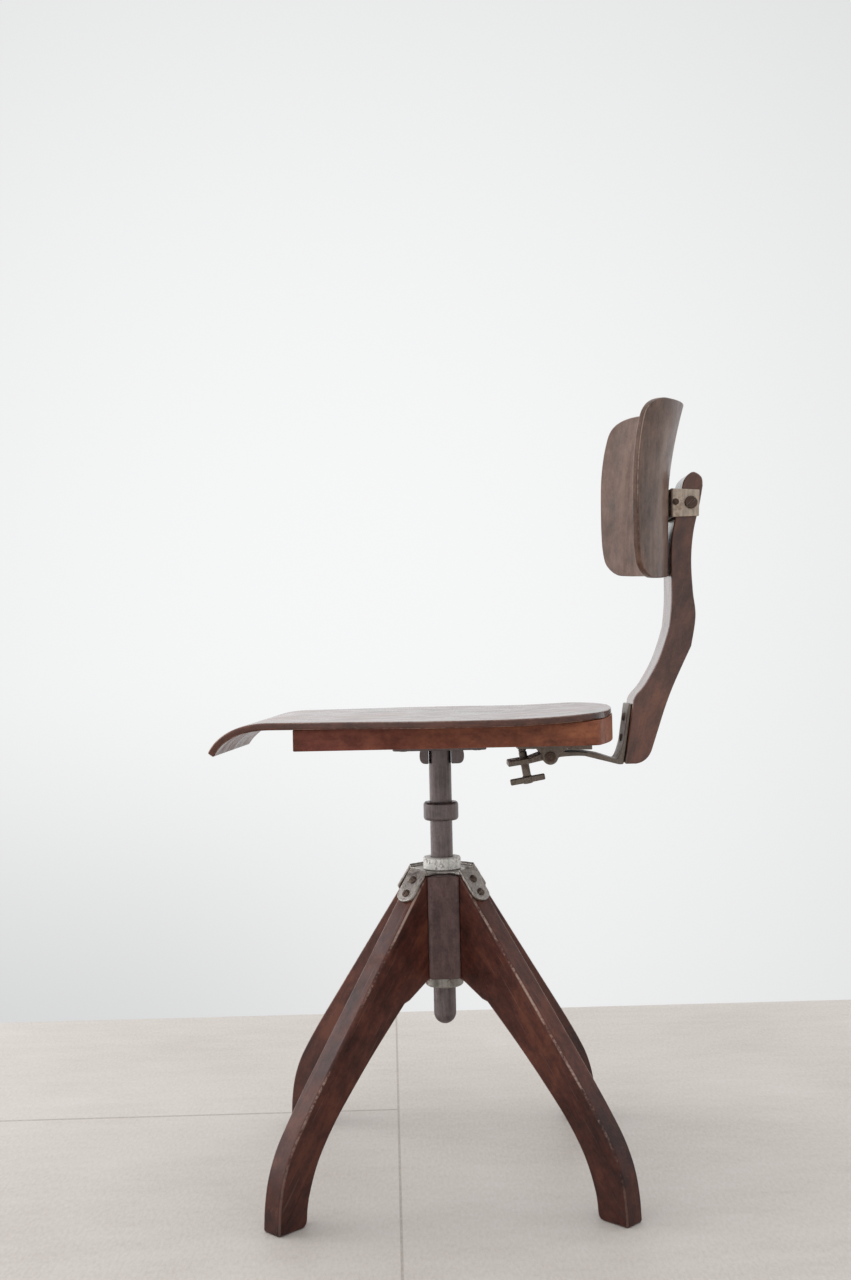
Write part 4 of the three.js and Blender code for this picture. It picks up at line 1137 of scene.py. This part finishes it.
def make_fork():
    outer, inner = 3.2, 1.0
    rear = 275.2
    shape = Outline(rear, -FORK_OUT).line(FORK_WEB + outer, -FORK_OUT)
    shape.quad(FORK_WEB, -FORK_OUT, FORK_WEB, -FORK_OUT + outer, 8).line(FORK_WEB, FORK_OUT - outer)
    shape.quad(FORK_WEB, FORK_OUT, FORK_WEB + outer, FORK_OUT, 8).line(rear, FORK_OUT, rear, FORK_IN)
    web = FORK_WEB + 3
    shape.line(web + inner, FORK_IN).quad(web, FORK_IN, web, FORK_IN - inner, 4).line(web, -FORK_IN + inner)
    shape.quad(web, -FORK_IN, web + inner, -FORK_IN, 4).line(rear, -FORK_IN)
    bm = slab_mesh(shape.points, FORK_LOW, FORK_TOP)
    for v in bm.verts:
        share = max(0, (v.co.x - FORK_WEB) / (rear - FORK_WEB))
        v.co.z += share * (0.6 if v.co.z < BOLT_Z else -2)
        if v.co.z < BOLT_Z:
            v.co.x -= share * 1.2
    bm = boolean(bm, cross_bar(4 + GAP, BOLT_X, BOLT_Z, -40, 40), "DIFFERENCE")
    round_edges(bm, 0.8, 3, 35)
    finish_piece("back_fork_bent", bm, TO_ROW, "backrest", ["back_fork"], STEEL_FORK)
    for i, side in enumerate((-1, 1)):
        barrel = cross_bar(1.8, RIVET_X, BOLT_Z + 1, *sorted((side * FORK_IN, side * (FORK_OUT + 1))), 32)
        dome = [(0, 0), (3.4, 0), (3.4, 0.3), (2.9, 0.85), (1.9, 1.3), (0, 1.5)]
        head = lathe_mesh(dome, 36)
        to_side = turned(-side * math.pi / 2, "X")
        head.transform(move_by((RIVET_X, side * (FORK_OUT + GAP), BOLT_Z + 1)) @ to_side)
        name = f"fork_rivet_{i + 1}"
        finish_piece(
            name + "_domed", union(barrel, head), TO_ROW, "backrest", [name], STEEL_SCREW
        )
    head = cross_bar(6.6, BOLT_X, BOLT_Z, -FORK_OUT - 3, -FORK_OUT - GAP, 56, chamfer=0.7)
    shank = cross_bar(4, BOLT_X, BOLT_Z, -FORK_OUT - 1, FORK_OUT + 8, chamfer=0.6)
    slot = box_mesh(-8, 8, -40, -FORK_OUT - 1.6, -0.85, 0.85)
    slot.transform(move_by((BOLT_X, 0, BOLT_Z)) @ turned(-math.pi / 4, "Y"))
    bolt = boolean(union(head, shank), slot, "DIFFERENCE")
    round_edges(bolt, 0.2, 2, 40)
    finish_piece(
        "back_pivot_bolt_slotted", bolt, TO_ROW, "backrest", ["back_pivot_bolt"],
        STEEL_SCREW
    )
    nut = cross_bar(7.4, BOLT_X, BOLT_Z, FORK_OUT + GAP, FORK_OUT + 6.5, 6)
    nut = boolean(nut, cross_bar(4 + GAP, BOLT_X, BOLT_Z, 0, 60), "DIFFERENCE")
    round_edges(nut, 0.6, 2, 35)
    finish_piece(
        "back_pivot_nut_shaped", nut, TO_ROW, "backrest", ["back_pivot_nut"], STEEL_SCREW
    )
    back = turned(math.pi / 2, "Y")
    spots = [move_by((FORK_WEB + 3, y, z)) @ back for y, z in ((-14, 682), (14, 682), (-14, 699), (14, 699))]
    place_screws("back_shell_screw", spots, "backrest", (4, 1.9, 1.7, 7.4, 1.0), first_turn=0.5)


# ---- floor, light, camera --------------------------------------------------------------------------


def make_floor():
    """Pale worn floor that ends where the wall would stand."""
    mesh = bpy.data.meshes.new("floor")
    turn = 0.024
    corners = [(-6, -6), (6, -6), (6, 0.651 + 6 * turn), (-6, 0.651 - 6 * turn)]
    mesh.from_pydata([(x, y, 0) for x, y in corners], [], [(0, 1, 2, 3)])
    s = Shader("floor_paint")
    at = s.place()
    clouds = s.noise(at, 3.0, 5.0, 0.6)
    streaks = s.noise(s.scaled(at, (9, 34, 1)), 1.0, 5.0, 0.65)
    specks = s.noise(s.scaled(at, (330, 110, 1)), 1.0, 4.0, 0.75)
    tone = s.add(s.times(clouds, 0.42), s.times(streaks, 0.16))
    tone = s.add(tone, s.times(specks, 0.42))
    color = s.ramp(
        tone, (0.36, (0.42, 0.375, 0.34)), (0.5, (0.505, 0.465, 0.43)), (0.64, (0.57, 0.535, 0.505))
    )
    parts = s.split(at)
    across = s.add(s.add(parts[0], s.times(parts[1], turn)), 0.079)
    deep = s.math("SUBTRACT", s.math("SUBTRACT", parts[1], s.times(parts[0], turn)), 0.19)
    seam = s.band(s.math("ABSOLUTE", across), 0.0018, 0.0008)
    cross = s.band(s.math("ABSOLUTE", deep), 0.0032, 0.0014)
    cross = s.times(cross, s.math("LESS_THAN", across, 0.0))
    joint = s.times(s.math("MAXIMUM", seam, cross), s.band(specks, 0.3, 0.6, 0.15, 0.6))
    color = s.mix(joint, color, (0.2, 0.165, 0.13))
    s.set(Base_Color=color, Roughness=s.band(clouds, 0.35, 0.65, 0.5, 0.7))
    s.set(Normal=s.bump(streaks, 0.0006, 0.5))
    mesh.materials.append(s.material)
    floor = bpy.data.objects.new("floor", mesh)
    bpy.context.scene.collection.objects.link(floor)


def make_light():
    """Even pale surroundings, brighter on the left and dimmer behind the camera, and a large soft
    window light on the left."""
    world = bpy.data.worlds.new("surroundings")
    bpy.context.scene.world = world
    world.use_nodes = True
    tree = world.node_tree
    background = tree.nodes["Background"]
    s = Shader.__new__(Shader)
    s.tree = tree
    way = s.split(s.node("ShaderNodeTexCoord").outputs["Generated"])
    behind = s.band(way[1], -0.9, 0.3, 0.76, 0.9)
    left = s.band(way[0], 0.2, -0.95, 0.0, 0.55)
    up = s.band(way[2], 0.1, 0.9, 0.0, 0.25)
    lit = s.add(s.add(behind, left), up)
    seen = s.node("ShaderNodeLightPath").outputs["Is Camera Ray"]
    # What the camera sees is a pale wall with painted shade: darker towards its sides, above and below its
    # middle, and most in the lower left corner.
    aside = s.math("POWER", s.math("ABSOLUTE", s.add(way[0], 0.05)), 2.0)
    above = s.math("POWER", s.math("ABSOLUTE", s.math("SUBTRACT", way[2], 0.06)), 2.0)
    wall_shade = s.add(s.times(aside, 0.7), s.times(above, 0.75))
    corner = s.times(s.band(way[2], 0.0, -0.28), s.band(way[0], 0.12, -0.22))
    wall_shade = s.add(wall_shade, s.times(corner, 0.15))
    wall = s.math("SUBTRACT", 0.93, wall_shade)
    level = s.node("ShaderNodeMix", {"Factor": seen, 2: lit, 3: wall}, data_type="FLOAT").outputs[0]
    background.inputs["Color"].default_value = (0.99, 0.996, 1.0, 1)
    tree.links.new(level, background.inputs["Strength"])
    data = bpy.data.lights.new("window", "AREA")
    data.shape, data.size, data.size_y, data.energy = "RECTANGLE", 1.6, 1.8, 16
    data.color = (0.97, 0.985, 1.0)
    window = bpy.data.objects.new("window", data)
    bpy.context.scene.collection.objects.link(window)
    window.location = (-2.3, 0.25, 1.35)
    window.rotation_euler = (Vector((0, 0, 0.45)) - window.location).to_track_quat("-Z", "Y").to_euler()


def make_camera():
    pitch, roll, yaw = -0.0095, -0.0208, 0.0026
    ahead = Vector((math.sin(yaw) * math.cos(pitch), math.cos(yaw) * math.cos(pitch), -math.sin(pitch)))
    level = Vector((math.cos(yaw), -math.sin(yaw), 0))
    above = level.cross(ahead)
    right = math.cos(roll) * level + math.sin(roll) * above
    up = -math.sin(roll) * level + math.cos(roll) * above
    data = bpy.data.cameras.new("camera")
    data.sensor_width, data.lens = 36, 40.22
    camera = bpy.data.objects.new("camera", data)
    bpy.context.scene.collection.objects.link(camera)
    turn = Matrix((right, up, -ahead)).transposed().to_4x4()
    camera.matrix_world = move_by((-0.0444, -1.510, 0.5388)) @ turn
    bpy.context.scene.camera = camera


make_camera()
make_floor()
make_light()
make_legs()
make_hub()
make_star()
make_bearings()
make_base_screws()
make_post()
make_frame()
make_seat_plate()
make_seat_shell()
make_bracket()
make_lever()
make_upright()
make_tilt_screw()
make_back_shell()
make_fork()
bpy.context.scene.view_settings.view_transform = "Standard"
